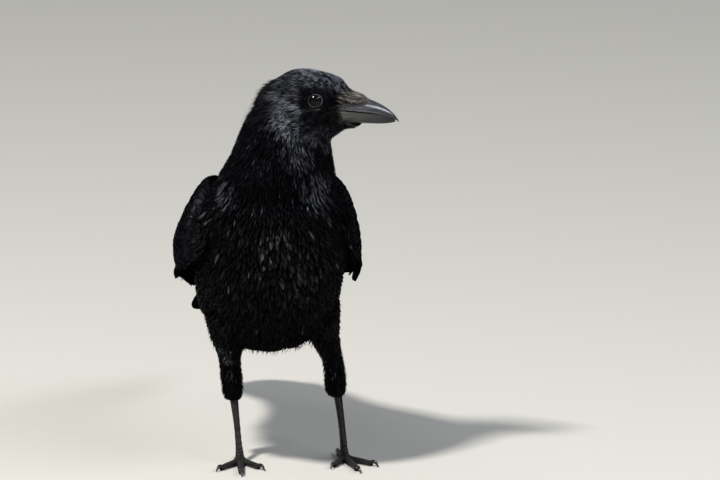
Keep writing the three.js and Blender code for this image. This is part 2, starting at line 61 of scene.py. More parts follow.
# ---- Studio ----------------------------------------------------------------------------------
# A pale seamless floor, a small strong key from the bird's right and above, a faint light behind
# and a pale sky. The camera stands far off with a long lens, a little above the bird.
MM = 0.001
eye_corners = [corner for side in ("left", "right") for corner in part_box("eye_" + side)]
between_eyes = sum(eye_corners, Vector()) / len(eye_corners)
LOOK_AT = between_eyes + Vector((38.9, 39.3, -120.2)) * MM
CAMERA_TURN, CAMERA_RISE, CAMERA_AWAY = math.radians(-7), math.radians(12), 9.0
SENSOR = 36.0
VIEW_END = 60
FIELD = 0.5472  # the width that the view takes in at the bird

away = Vector((
    math.sin(CAMERA_TURN) * math.cos(CAMERA_RISE),
    -math.cos(CAMERA_TURN) * math.cos(CAMERA_RISE),
    math.sin(CAMERA_RISE),
))
camera = bpy.data.objects.new("camera", bpy.data.cameras.new("camera"))
camera.data.sensor_width = SENSOR
camera.data.lens = SENSOR * CAMERA_AWAY / FIELD
camera.data.clip_end = VIEW_END
camera.location = LOOK_AT + away * CAMERA_AWAY
camera.rotation_mode = "QUATERNION"
camera.rotation_quaternion = (-away).to_track_quat("-Z", "Y")
bpy.context.collection.objects.link(camera)
bpy.context.scene.camera = camera


def material(name, colour, roughness, **values):
    """A new material with plain values on its Principled shader, that shader and its tree."""
    made = bpy.data.materials.new(name)
    made.use_nodes = True
    shader = made.node_tree.nodes["Principled BSDF"]
    shader.inputs["Base Color"].default_value = (*colour, 1)
    shader.inputs["Roughness"].default_value = roughness
    for key, value in values.items():
        shader.inputs[key.replace("_", " ")].default_value = value
    return made, shader, made.node_tree


def piece(name, mesh, finish):
    """An object of the scene for a finished mesh, with its material."""
    made = bpy.data.objects.new(name, mesh)
    mesh.materials.append(finish)
    bpy.context.collection.objects.link(made)
    return made


def mesh_from(bm, name):
    """The bmesh's faces as a mesh, shaded smooth, with the bmesh let go."""
    made = bpy.data.meshes.new(name)
    for face in bm.faces:
        face.smooth = True
    bm.to_mesh(made)
    bm.free()
    return made


FLOOR_HALF = 9.0
bm = bmesh.new()
bmesh.ops.create_grid(bm, x_segments=1, y_segments=1, size=FLOOR_HALF)
floor_finish, _, _ = material("pale_floor", (0.46, 0.45, 0.42), 0.9)
floor = piece("floor", mesh_from(bm, "floor"), floor_finish)


def lamp(name, place, wide, high, power, colour):
    """A soft light at a place round the bird, aimed at its breast."""
    light = bpy.data.lights.new(name, "AREA")
    light.shape = "RECTANGLE"
    light.size, light.size_y, light.energy, light.color = wide, high, power, colour
    made = bpy.data.objects.new(name, light)
    made.location = place
    aim = (cad_box[0] + cad_box[1]) / 2 - Vector(place)
    made.rotation_mode = "QUATERNION"
    made.rotation_quaternion = aim.to_track_quat("-Z", "Y")
    bpy.context.collection.objects.link(made)


lamp("key", (-1.3, -1.3, 2.7), 0.3, 0.3, 150, (1.0, 0.97, 0.92))
lamp("rim", (-1.6, 1.6, 2.0), 1.0, 1.0, 6, (0.9, 0.95, 1.0))
lamp("sky", (2.15, -1.4, 2.15), 3.0, 0.5, 60, (0.85, 0.9, 1.0))
world = bpy.data.worlds.new("studio")
world.use_nodes = True
world.node_tree.nodes["Background"].inputs["Color"].default_value = (0.80, 0.83, 0.86, 1)
world.node_tree.nodes["Background"].inputs["Strength"].default_value = 0.4
bpy.context.scene.world = world
bpy.context.scene.view_settings.view_transform = "Standard"

# ---- Skin ------------------------------------------------------------------------------------
# One skin over trunk, neck, head, wings and thighs: thin, dark, loose skin with short down. The
# solids are joined and smoothed to the coat's outer form, and the skin lies under that by the
# depth of the coat, less where the body is thin.
FLESH = (
    "trunk", "neck", "head", "thigh_left", "thigh_right", "wing_left", "wing_right",
)
SEAM_FILL = 0.5 * MM
MERGE = 0.01 * MM
VOXEL = 1.8 * MM
FORM_PASSES, SKIN_PASSES = 3, 2  # of smoothing
COAT_DEPTH = 3.2 * MM
WING_DEPTH = 4.6 * MM
HEAD_DEPTH = 1.3 * MM
LID_DEPTH = 0.8 * MM
LID_REACH = (15, 8)  # the coat thins between these distances from the eye's axis, in mm
THIN_SHARE = 0.3  # the coat takes at most this share of the body's local thickness


def smoothed(bm, times):
    for _ in range(times):
        bmesh.ops.smooth_vert(
            bm, verts=bm.verts, factor=0.5, use_axis_x=True, use_axis_y=True, use_axis_z=True
        )


flesh = bmesh.new()
wing_solids = []
for name in FLESH:
    solid = bmesh.new()
    solid.from_mesh(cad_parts[name].data)
    bmesh.ops.remove_doubles(solid, verts=solid.verts, dist=MERGE)
    solid.normal_update()
    for v in solid.verts:
        v.co += v.normal * SEAM_FILL
    if name.startswith("wing"):
        wing_solids.append(BVHTree.FromBMesh(solid))
    flesh.from_mesh(mesh_from(solid, name + "_flesh"))
form = bpy.data.objects.new("form", mesh_from(flesh, "form"))
bpy.context.collection.objects.link(form)
remesh = form.modifiers.new("whole", "REMESH")
remesh.mode = "VOXEL"
remesh.voxel_size = VOXEL
graph = bpy.context.evaluated_depsgraph_get()
form_mesh = bpy.data.meshes.new_from_object(form.evaluated_get(graph))
bpy.data.objects.remove(form)
bm = bmesh.new()
bm.from_mesh(form_mesh)
smoothed(bm, FORM_PASSES)
bm.normal_update()
bm.to_mesh(form_mesh)
form_tree = BVHTree.FromBMesh(bm)

# The head's own frame: +X along the bill, +Y to the bird's left, +Z to the crown. The body is
# measured in millimetres from a point on the floor, under the breast.
HEAD_TURN, HEAD_LEAN = math.radians(-8), math.radians(8)
head_turn = Matrix.Rotation(HEAD_TURN, 3, "Z") @ Matrix.Rotation(HEAD_LEAN, 3, "X")
EYE_PLACE = np.array((1.5, 10.4, 0.9))  # of the left eyeball's middle in the head's frame
head_place = between_eyes - head_turn @ Vector((EYE_PLACE[0], 0, 0)) * MM
HEAD_FROM_ORIGIN = Vector((28.8, -28.3, 293))
ORIGIN = head_place - HEAD_FROM_ORIGIN * MM
HEAD_AXES = np.array(head_turn)


def in_head(points):
    """Points in the head's own frame, in millimetres."""
    return (points - np.array(head_place)) @ HEAD_AXES / MM


def in_body(points):
    """Points from the origin on the floor, in millimetres."""
    return (points - np.array(ORIGIN)) / MM


def soft(low, high, values):
    """A smooth step from 0 at low to 1 at high."""
    t = np.clip((values - low) / (high - low), 0, 1)
    return t * t * (3 - 2 * t)


NECK_TOP, NECK_SLOPE = np.array((12, -28, 268)), np.array((0.387, 0, 0.922))
NECK_BLEND = (-10, 8)  # the neck passes into the head over this stretch, in mm past NECK_TOP


def head_share(points):
    """1 on the head, 0 on the neck and body."""
    return soft(*NECK_BLEND, (in_body(points) - NECK_TOP) @ NECK_SLOPE)


EYE_LOOK, EYE_RISE = math.radians(4), math.radians(12)


def from_eye(points):
    """Where points of the head lie round the nearer eye's axis: forward and up, in mm."""
    h = in_head(points)
    out = np.abs(h[:, 1]) - EYE_PLACE[1]
    ahead = h[:, 0] - EYE_PLACE[0] - math.tan(EYE_LOOK) * out
    return np.stack([ahead, h[:, 2] - EYE_PLACE[2] - math.tan(EYE_RISE) * out], 1)


places = np.array([v.co for v in bm.verts])
on_head = head_share(places)
lid_share = on_head * soft(*LID_REACH, np.linalg.norm(from_eye(places), axis=1))
depths = COAT_DEPTH + (HEAD_DEPTH - COAT_DEPTH) * on_head - (HEAD_DEPTH - LID_DEPTH) * lid_share
for v, depth in zip(bm.verts, depths):
    if min(solid.find_nearest(v.co)[3] for solid in wing_solids) < VOXEL:
        depth = WING_DEPTH
    inside = v.co - v.normal * 0.1 * MM
    hit = form_tree.ray_cast(inside, -v.normal, 0.1)
    if hit[0] is not None:
        depth = min(depth, THIN_SHARE * hit[3])
    v.co -= v.normal * depth
smoothed(bm, SKIN_PASSES)


def node(tree, kind, inputs=(), **settings):
    """A new shader node. inputs gives sockets, by name or number, a plain value or a link."""
    made = tree.nodes.new("ShaderNode" + kind)
    for key, value in settings.items():
        setattr(made, key, value)
    for key, value in dict(inputs).items():
        if isinstance(value, bpy.types.NodeSocket):
            tree.links.new(value, made.inputs[key])
        else:
            made.inputs[key].default_value = value
    return made


def effect(name, sockets, results):
    """An empty shader node group with its sockets, and the sockets at its two ends."""
    made = bpy.data.node_groups.new(name, "ShaderNodeTree")
    for way, ends in (("INPUT", sockets), ("OUTPUT", results)):
        for socket, kind in ends.items():
            made.interface.new_socket(socket, in_out=way, socket_type="NodeSocket" + kind)
    return made, made.nodes.new("NodeGroupInput").outputs, made.nodes.new("NodeGroupOutput").inputs


mottle, given, result = effect(
    "mottle",
    {"Vector": "Vector", "Scale": "Float", "Dark": "Color", "Light": "Color", "Depth": "Float"},
    {"Color": "Color", "Normal": "Vector"},
)
cloud = node(mottle, "TexNoise", {"Vector": given["Vector"], "Scale": given["Scale"], "Detail": 4.0})
light_share = node(
    mottle, "MapRange", {"Value": cloud.outputs["Fac"], "From Min": 0.35, "From Max": 0.7}
)
blend = node(
    mottle, "Mix", {0: light_share.outputs["Result"], 6: given["Dark"], 7: given["Light"]},
    data_type="RGBA",
)
relief = node(mottle, "Bump", {"Height": cloud.outputs["Fac"], "Distance": given["Depth"]})
mottle.links.new(blend.outputs[2], result["Color"])
mottle.links.new(relief.outputs["Normal"], result["Normal"])


def mottled(shader, tree, scale, dark, light, depth, place=None):
    """Uneven colour and fine relief on a shader; scale is in grains to the metre."""
    place = place or node(tree, "TexCoord").outputs["Object"]
    made = node(tree, "Group", {
        "Vector": place, "Scale": scale, "Dark": (*dark, 1), "Light": (*light, 1), "Depth": depth * MM,
    }, node_tree=mottle)
    tree.links.new(made.outputs["Color"], shader.inputs["Base Color"])
    tree.links.new(made.outputs["Normal"], shader.inputs["Normal"])


skin_finish, shader, tree = material(
    "skin_and_down", (0.004, 0.004, 0.005), 0.8, Specular_IOR_Level=0.0
)
mottled(shader, tree, 900, (0.002, 0.002, 0.0025), (0.006, 0.006, 0.007), 0.4)

SEAM_ANGLE, ISLAND_GAP = 66, 0.004  # where the skin's map is cut, and the space between its islands
skin = piece("skin", mesh_from(bm, "skin"), skin_finish)
bpy.context.view_layer.objects.active = skin
skin.select_set(True)
skin.data.uv_layers.new(name="OFBake")
bpy.ops.object.mode_set(mode="EDIT")
bpy.ops.mesh.select_all(action="SELECT")
bpy.ops.uv.smart_project(
    angle_limit=math.radians(SEAM_ANGLE), island_margin=ISLAND_GAP, scale_to_bounds=True
)
bpy.ops.object.mode_set(mode="OBJECT")
skin.select_set(False)
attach(skin, "root")
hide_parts(*FLESH)

# ---- Coat ------------------------------------------------------------------------------------
# Feathers root in the skin and lie away from the bill, round the eyes, down the neck, towards the
# tail over the body and down to the heel on the thigh. Their sizes change smoothly from one part
# of the body to the next.
BILL_ROOT = np.array((42.0, 0.0, -9.0))
HEELS = {1: np.array((52.9, 33.0, 26.0)), -1: np.array((-25.5, 33.0, 26.0))}
MIDDLE_X = 12  # the plane between the legs
HEAD_FALL, FALL_BACK = 0.45, (8, -35)  # towards the back of the head feathers turn down by this share
EYE_PART, EYE_NEAR = 1.3, (12, 7)  # near the eye they part round it, by this share
NECK_WAY, BREAST_WAY = np.array((0, 0.12, -1)), np.array((0, 0.25, -1))
BACK_WAY = np.array((0, 0.88, -0.48))
FACING_FRONT = (-0.2, 0.8)
NECK_FROM, LEG_FROM = (205, 246), (120, 84)  # heights over which the neck and the leg begin, in mm


def unit(vectors):
    return vectors / np.maximum(np.linalg.norm(vectors, axis=-1, keepdims=True), 1e-12)


def along_surface(ways, normals):
    return unit(ways - (ways * normals).sum(1, keepdims=True) * normals)


def lie(points, normals):
    """The way the coat lies at each point: unit vectors along the surface."""
    q, h = in_body(points), in_head(points)
    head = unit(h - BILL_ROOT)
    head[:, 2] -= HEAD_FALL * soft(*FALL_BACK, h[:, 0])
    round_eye = from_eye(points)
    distance = np.linalg.norm(round_eye, axis=1, keepdims=True)
    head[:, [0, 2]] += EYE_PART * soft(*EYE_NEAR, distance) * round_eye / np.maximum(distance, 1e-6)
    head = unit(head) @ HEAD_AXES.T
    front = soft(*FACING_FRONT, -normals[:, 1])[:, None]
    trunk = (1 - front) * BACK_WAY + front * BREAST_WAY
    leg = unit(np.where(q[:, :1] > MIDDLE_X, HEELS[1], HEELS[-1]) - q)
    on_head = head_share(points)[:, None]
    on_neck = soft(*NECK_FROM, q[:, 2])[:, None]
    on_leg = soft(*LEG_FROM, q[:, 2])[:, None]
    way = trunk * (1 - on_neck) + NECK_WAY * on_neck
    way = way * (1 - on_head) + head * on_head
    return along_surface(way * (1 - on_leg) + leg * on_leg, normals)


# Gap between roots, length, width and lift of the tip of the feathers of each part, in mm.
SIZES = np.array((
    (0.66, 2.6, 0.52, 0.12),   # face
    (0.80, 6.2, 0.68, 0.35),   # crown, cheek and nape
    (1.3, 9.5, 1.2, 0.55),     # neck
    (2.9, 15, 4.6, 0.8),       # breast and belly
    (5.2, 24, 11, 0.3),        # back
    (1.6, 9.5, 2.0, 0.4),      # leg
))


FACE_BLEND, HACKLES, LEG_COAT = (-14, 9), (185, 238), (112, 84)  # where each kind takes over, in mm
UPWARD, REARWARD, BACK_BLEND = 0.8, 0.6, (-0.1, 0.55)  # the way the back faces


def shares(points, normals):
    """How much of each row of SIZES counts at each point."""
    z = in_body(points)[:, 2]
    head = head_share(points)
    face = head * soft(*FACE_BLEND, in_head(points)[:, 0])
    leg = soft(*LEG_COAT, z)
    neck = (1 - head) * soft(*HACKLES, z)
    body = 1 - head - neck - leg
    back = body * soft(*BACK_BLEND, normals[:, 2] * UPWARD + normals[:, 1] * REARWARD)
    return np.stack([face, head - face, neck, body - back, back, leg], 1)


def coat_sizes(points, normals):
    """Gap, length, width and lift at each point, blended between the parts."""
    return np.exp(np.maximum(shares(points, normals), 0) @ np.log(SIZES)).T


skin_tree = BVHTree.FromPolygons(
    [v.co for v in skin.data.vertices], [p.vertices for p in skin.data.polygons]
)
skin_map = np.empty(len(skin.data.loops) * 2)
skin.data.uv_layers["OFBake"].data.foreach_get("uv", skin_map)
starts = np.array([p.loop_start for p in skin.data.polygons])
corner_counts = np.array([p.loop_total for p in skin.data.polygons])
skin_face_map = np.add.reduceat(skin_map.reshape(-1, 2), starts, axis=0) / corner_counts[:, None]

form_mesh.calc_loop_triangles()
corners = np.array([v.co for v in form_mesh.vertices])
triangles = np.array([t.vertices for t in form_mesh.loop_triangles])
tri_a, tri_b, tri_c = (corners[triangles[:, i]] for i in range(3))
tri_cross = np.cross(tri_b - tri_a, tri_c - tri_a)
tri_area = np.linalg.norm(tri_cross, axis=1) / 2
tri_normal = unit(tri_cross)
tri_middle = (tri_a + tri_b + tri_c) / 3
random = np.random.default_rng(41)
CROWDING = 5.0  # candidates drawn for each root that is kept
CLOSEST = 0.86  # the share of the gap that roots keep between them


def scatter(gap, keep):
    """Roots about gap millimetres apart on the form's triangles, where keep is true."""
    want = np.where(keep, tri_area / (gap * MM) ** 2, 0)
    total = int(want.sum() * CROWDING)
    chosen = random.choice(len(want), total, p=want / want.sum())
    a, b = random.random(total), random.random(total)
    fold = a + b > 1
    a[fold], b[fold] = 1 - a[fold], 1 - b[fold]
    edge_1, edge_2 = (tri_b - tri_a)[chosen], (tri_c - tri_a)[chosen]
    points = tri_a[chosen] + a[:, None] * edge_1 + b[:, None] * edge_2
    reach = gap[chosen] * CLOSEST * MM
    tree = KDTree(total)
    for i, p in enumerate(points):
        tree.insert(p, i)
    tree.balance()
    free = np.ones(total, bool)
    kept = []
    for i in range(total):
        if free[i]:
            kept.append(i)
            for _, j, _ in tree.find_range(points[i], reach[i]):
                free[j] = False
    return points[kept], tri_normal[chosen][kept]


def nearest(tree, points):
    """For each point: the closest place on a tree's surface, its normal and its face."""
    found = [tree.find_nearest(Vector(p)) for p in points]
    return tuple(np.array([f[k] for f in found]) for k in range(3))


PATCH = 0.003  # the width of one feather's patch on the map of the skin


def joined_mesh(name, verts, faces, vane, root_map, shade):
    """One mesh from many alike parts: verts is parts x corners x 3, faces are one part's faces."""
    count, corners_each = verts.shape[:2]
    sizes = np.array([len(f) for f in faces])
    one = np.concatenate([np.array(f) for f in faces])
    whole = (one[None] + np.arange(count)[:, None] * corners_each).ravel()
    made = bpy.data.meshes.new(name)
    made.vertices.add(count * corners_each)
    made.vertices.foreach_set("co", verts.ravel())
    made.loops.add(len(whole))
    made.loops.foreach_set("vertex_index", whole)
    made.polygons.add(count * len(faces))
    begins = np.concatenate([[0], np.cumsum(np.tile(sizes, count))[:-1]])
    made.polygons.foreach_set("loop_start", begins)
    made.polygons.foreach_set("use_smooth", np.ones(count * len(faces), bool))
    corner_vane = vane.reshape(-1, 2)[whole]
    made.uv_layers.new(name="vane").data.foreach_set("uv", corner_vane.ravel())
    patch = np.repeat(root_map, len(one), axis=0) + (corner_vane - 0.5) * PATCH
    made.uv_layers.new(name="OFBake").data.foreach_set("uv", np.clip(patch, 0, 1).ravel())
    shades = np.repeat(shade, corners_each)
    made.attributes.new("shade", "FLOAT", "POINT").data.foreach_set("value", shades)
    made.update()
    made.validate()
    return made


def tube_faces(rings, around):
    """Faces of a closed tube: a point, rings of corners, and a point."""
    following = [(i + 1) % around for i in range(around)]
    faces = [(0, 1 + following[i], 1 + i) for i in range(around)]
    for a in range(1, 1 + (rings - 1) * around, around):
        faces += [
            (a + i, a + following[i], a + around + following[i], a + around + i) for i in range(around)
        ]
    last, tip = 1 + (rings - 1) * around, 1 + rings * around
    return faces + [(last + i, last + following[i], tip) for i in range(around)]


# Outline of a tuft's sections: share of the half width, fall at the edges, depth below.
LOZENGE = np.array(((1, 0, -1, 0), (1, 0, 1, 0), (0.5, 0, 0.5, 1)))
ARCH = np.array(((1, 0.55, 0, -0.55, -1, 0), (1, 0.3, 0, 0.3, 1, 0), (0.5, 0, 0, 0, 0.5, 1)))
POINTED = ((0.25, 0.55, 0.82), (0.8, 1.0, 0.55))  # places of a tuft's sections, and their widths
ROUNDED = ((0.15, 0.4, 0.66, 0.87), (0.55, 0.9, 1.0, 0.68))
SOFT = ((0.16, 0.42, 0.68, 0.88), (0.5, 0.92, 1.0, 0.55))
HAIR = ((0.35, 0.7), (1.0, 0.7))
ROOT_SHORT, ROOT_LEAST = 0.1 * MM, 0.2 * MM  # roots end this far above the skin, and are this deep
LEAST_BODY = 0.1 * MM


def grown(name, roots, normals, sizes, shade, profile=POINTED, section=LOZENGE, camber=0.16,
          swing=9, roll=9, thick=0.05, way=lie, over=form_tree):
    """A mesh of tufts, one from each root, laid along the body. Each is a closed, thin, arched
    blade. sizes are length, width and lift of the tip, in millimetres; over is what they lie on."""
    count = len(roots)
    length, width, lift = (np.broadcast_to(v, count) * MM for v in sizes)
    under, _, face = nearest(skin_tree, roots)
    depth = np.maximum(np.linalg.norm(roots - under, axis=1) - ROOT_SHORT, ROOT_LEAST)
    turn = np.radians(random.normal(0, 1, count) * swing)[:, None]
    tilt = np.radians(random.normal(0, 1, count) * roll)[:, None]
    rows, widths = profile
    places = [0.0, *rows, 1.0]
    across, fall, below = section
    around, rings = len(across), len(rows)
    verts = np.empty((count, rings * around + 2, 3))
    vane = np.empty((count, rings * around + 2, 2))
    vane[:, 0], vane[:, -1] = (0.5, 0), (0.5, 1)
    body = np.maximum(thick * width, LEAST_BODY)
    p, n = roots.copy(), normals.copy()
    for r, v in enumerate(places):
        heading = way(p, n)
        heading = unit(heading * np.cos(turn) + np.cross(n, heading) * np.sin(turn))
        if r:
            step = length * (v - places[r - 1])
            p, n, _ = nearest(over, p + heading * step[:, None])
            heading = along_surface(heading, n)
        side = np.cross(n, heading)
        up = n * np.cos(tilt) + side * np.sin(tilt)
        side = side * np.cos(tilt) - n * np.sin(tilt)
        middle = p + n * (lift * v * v - depth * (1 - v))[:, None]
        if r in (0, rings + 1):
            verts[:, 0 if r == 0 else -1] = middle
            continue
        half = width / 2 * widths[r - 1]
        ring = slice(1 + (r - 1) * around, 1 + r * around)
        drop = fall * half[:, None] * camber * 2 + below * body[:, None]
        out = across[None, :, None] * half[:, None, None] * side[:, None]
        verts[:, ring] = middle[:, None] + out - drop[..., None] * up[:, None]
        vane[:, ring, 0] = 0.5 + across / 2
        vane[:, ring, 1] = v
    return joined_mesh(name, verts, tube_faces(rings, around), vane, skin_face_map[face], shade)


def reckon(tree, operation, *terms):
    """The value of a maths node on plain numbers or sockets."""
    return node(tree, "Math", enumerate(terms), operation=operation).outputs["Value"]


# Barbs run out from the shaft and towards the tip; each feather has its own paleness, a painted glint
# that grows a little towards its tip, and is the glossier the paler it is.
GLINT = 0.3  # how much glossier the palest feather is
SLANT = 0.5
TIP_PAINTED_GLINT, BARB_TONE = (0.7, 0.3), (0.2, 0.8)  # the painted glint's varying part along the feather, and its steady part
BARB_ROUGHNESS, PALE_ROUGHNESS = 0.05, -0.08
BARB_HEIGHT, BARB_STRENGTH = 0.12 * MM, 0.6
GRAZING = (0.15, 0.6)  # barbs drink up the light that comes along the feather, from here on
vane_effect, given, result = effect(
    "vane",
    {"Dark": "Color", "Pale": "Color", "Barbs": "Float", "Roughness": "Float", "Gloss": "Float"},
    {"Color": "Color", "Roughness": "Float", "Gloss": "Float", "Normal": "Vector"},
)
each = node(vane_effect, "Attribute", attribute_name="shade").outputs["Fac"]
place = node(vane_effect, "SeparateXYZ", {0: node(vane_effect, "UVMap", uv_map="vane").outputs["UV"]})
off_shaft = reckon(vane_effect, "ABSOLUTE", reckon(vane_effect, "SUBTRACT", place.outputs["X"], 0.5))
lead = reckon(vane_effect, "MULTIPLY", off_shaft, SLANT)
slant = reckon(vane_effect, "SUBTRACT", place.outputs["Y"], lead)
turns = reckon(vane_effect, "MULTIPLY", given["Barbs"], 2 * math.pi)
barb = reckon(vane_effect, "SINE", reckon(vane_effect, "MULTIPLY", slant, turns))
tip_share = reckon(vane_effect, "MULTIPLY_ADD", place.outputs["Y"], *TIP_PAINTED_GLINT)
paleness = reckon(vane_effect, "MULTIPLY", each, tip_share)
barb_tone = reckon(vane_effect, "MULTIPLY_ADD", barb, *BARB_TONE)
paleness = reckon(vane_effect, "MULTIPLY", paleness, barb_tone)
blend = node(vane_effect, "Mix", {0: paleness, 6: given["Dark"], 7: given["Pale"]}, data_type="RGBA")
rough = reckon(vane_effect, "MULTIPLY_ADD", barb, BARB_ROUGHNESS, given["Roughness"])
rough = reckon(vane_effect, "MULTIPLY_ADD", each, PALE_ROUGHNESS, rough)
shine = reckon(vane_effect, "MULTIPLY_ADD", each, GLINT, given["Gloss"])
relief = node(vane_effect, "Bump", {"Height": barb, "Distance": BARB_HEIGHT, "Strength": BARB_STRENGTH})
vane_effect.links.new(blend.outputs[2], result["Color"])
vane_effect.links.new(rough, result["Roughness"])
vane_effect.links.new(shine, result["Gloss"])
vane_effect.links.new(relief.outputs["Normal"], result["Normal"])


def feather_finish(name, dark, pale, barbs, roughness, gloss=0.04):
    """Black keratin: pale is the painted glint colour of its palest feathers, barbs how many cross a
    vane.
    """
    made, shader, tree = material(name, dark, roughness)
    vanes = node(tree, "Group", {
        "Dark": (*dark, 1), "Pale": (*pale, 1), "Barbs": barbs, "Roughness": roughness, "Gloss": gloss,
    }, node_tree=vane_effect)
    facing = node(tree, "LayerWeight", {"Blend": 0.5}).outputs["Facing"]
    kept = node(tree, "MapRange", {
        "Value": facing, "From Min": GRAZING[0], "From Max": GRAZING[1], "To Min": 1.0, "To Max": 0.0,
    })
    level = reckon(tree, "MULTIPLY", vanes.outputs["Gloss"], kept.outputs["Result"])
    tree.links.new(level, shader.inputs["Specular IOR Level"])
    tree.links.new(vanes.outputs["Color"], shader.inputs["Base Color"])
    tree.links.new(vanes.outputs["Roughness"], shader.inputs["Roughness"])
    tree.links.new(vanes.outputs["Normal"], shader.inputs["Normal"])
    return made


# Sections of the folded wing from the wrist to the tip, in millimetres from the origin: place,
# then x, y, z of the upper edge, the middle and the lower edge, and how far the shoulder swells.
WING = np.array((
    (0, 47, -20, 214, 56, -33, 197, 55, -37, 180, 0.4),
    (1, 45, 4, 226.5, 60.3, -13, 200, 64, -20, 167, 2.6),
    (2, 39, 30, 222.5, 67.2, 13, 188, 69.5, 8, 154.5, 2.4),
    (3, 28, 60, 204, 68, 46, 173, 67, 42, 146, 2.2),
    (4, 21, 94, 180, 57.5, 83, 154, 55, 84, 130, 2.4),
    (5, 16, 132, 157, 41, 124, 136, 38.5, 128, 116.5, 2),
    (6, 12, 173, 132, 32, 169, 122, 33, 172, 109.5, 1),
    (7, 14, 210, 111.5, 26, 208, 106.5, 28.5, 210, 99.5, 0.5),
    (8, 18, 245, 89.5, 21.5, 246, 88, 23, 246, 86.5, 0),
))
SWELL_SCALE, SWELL_RISE = 10.4, 0.5
WING_END, WING_TIP = 8.0, 7.9  # the last section's place, and one just short of it
WING_NEAR = 4.5  # the body's own feathers stop this far from the wing's outer face, in mm
WING_BARE = 0.95  # and cover the wing's front as far as this place along it


def through(rows, place):
    """A smooth curve through rows of (place, values), read at a place."""
    i = int(np.clip(np.searchsorted(rows[:, 0], place, side="right") - 1, 0, len(rows) - 2))
    low, high = rows[i], rows[i + 1]
    span = high[0] - low[0]
    t = (place - low[0]) / span

    def slope(k):
        before, after = rows[max(k - 1, 0)], rows[min(k + 1, len(rows) - 1)]
        return (after[1:] - before[1:]) / (after[0] - before[0])

    gain = high[1:] - low[1:]
    a, b = slope(i) * span - gain, gain - slope(i + 1) * span
    return low[1:] + t * gain + t * (1 - t) * ((1 - t) * a + t * b)


def wing_point(side, along, down):
    """The point on the wing's outer face, in metres."""
    v = through(WING, along)
    upper, middle, lower = (1 - down) * (1 - 2 * down), 4 * down * (1 - down), down * (2 * down - 1)
    swell = v[9] * SWELL_SCALE * down * (1 - down) * (1 - 2 * down)
    x, y, z = upper * v[0:3] + middle * v[3:6] + lower * v[6:9]
    return np.array(ORIGIN) + np.array((side * (x + swell), y, z + SWELL_RISE * swell)) * MM


ALONG_STEPS, DOWN_STEPS = 80, 21
wing_tree = KDTree(2 * ALONG_STEPS * DOWN_STEPS)
for side in (1, -1):
    for along in np.linspace(WING_BARE, WING_TIP, ALONG_STEPS):
        for down in np.linspace(0, 1, DOWN_STEPS):
            wing_tree.insert(wing_point(side, along, down), 0)
wing_tree.balance()
off_wing = np.array([wing_tree.find(p)[2] for p in tri_middle]) > WING_NEAR * MM

EYE_BARE = 5.7  # the lids stay bare this far from the eye's axis, in mm
FOLD_BARE = 2.3  # and this much further over the fold behind and below
FOLD_WAY = np.array((-0.45, -0.89))
FOLD_TURN = (0.3, 0.8)


def outside_lids(points):
    """True where feathers grow round the eye."""
    place = from_eye(points)
    distance = np.linalg.norm(place, axis=1)
    below = soft(*FOLD_TURN, (place @ FOLD_WAY) / np.maximum(distance, 1e-6))
    return distance > EYE_BARE + FOLD_BARE * below


BILL_BARE = 37  # feathers end this far forward of the eyes, in mm
MINGLING = 0.15  # how raggedly one part of the coat passes into the next
feathered = off_wing & outside_lids(tri_middle) & (in_head(tri_middle)[:, 0] < BILL_BARE)
coat_roots, coat_normals = scatter(coat_sizes(tri_middle, tri_normal)[0], feathered)
clear = outside_lids(coat_roots)
coat_roots, coat_normals = coat_roots[clear], coat_normals[clear]
mixed = shares(coat_roots, coat_normals) + random.normal(0, MINGLING, (len(coat_roots), len(SIZES)))
part = np.argmax(mixed, axis=1)
part[part == 1] = 0  # face and crown make one part


# Groups of glossier feathers, made pale as painted glints: middle in mm from the origin, radius, and
# how strong the gloss and the painted glint are.
GLOSS_AND_PAINTED_GLINT = (
    (13, -50, 258, 13, 0.6), (-11, -48, 246, 9, 0.6), (30, -56, 231, 14, 1.0),
    (-38, -43, 228, 9, 1.0), (-57.5, -19, 206, 7, 1.0), (-3, -65, 192, 12, 0.4),
    (18, -72, 168, 26, 0.15), (-40, -4, 98, 6, 0.9), (-35, 3, 87, 6.5, 0.9), (-30, 14, 73, 5, 0.6),
)
GROUP_EDGE = (1.4, 0.5)  # a group fades between these shares of its radius
DULL = 0.04  # the gloss away from the groups
STRAY_PAINTED_GLINT, STRAY_SHARE = 0.22, 0.012  # a few stray feathers anywhere carry a painted glint this pale


def glints(points):
    """How pale, as a painted glint, and how glossy the feather at each point of the neck, body or wing
    is.
    """
    q = in_body(points)
    gloss = np.full(len(q), DULL)
    for *middle, radius, strength in GLOSS_AND_PAINTED_GLINT:
        off = np.linalg.norm(q - np.array(middle), axis=1)
        gloss = np.maximum(gloss, strength * soft(*GROUP_EDGE, off / radius))
    stray = np.where(random.random(len(q)) < STRAY_SHARE, STRAY_PAINTED_GLINT, 0)
    return np.maximum(gloss * random.random(len(q)) ** 3, stray)


SIZE_SPREAD = (0.8, 1.2)


def coat_part(number):
    """The roots of one part of the coat, their normals, and length, width and lift there."""
    chosen = part == number
    roots, normals = coat_roots[chosen], coat_normals[chosen]
    sizes = coat_sizes(roots, normals)[1:] * random.uniform(*SIZE_SPREAD, len(roots))
    return roots, normals, sizes


# ---- Head feathers ---------------------------------------------------------------------------
# Hair-fine feathers, shortest round the eye and the bill, longer over the ear and the nape. Those
# of the crown and the cheek have a silvery gloss and a painted silver sheen; the lores and the brow
# are dull black, with no sheen painted beside the eye, a painted shade under the brow.
CLUMP = 7  # feathers that stick together and shine alike
FACE_FROM = -6  # where the face passes into crown and nape, in mm forward of the eyes
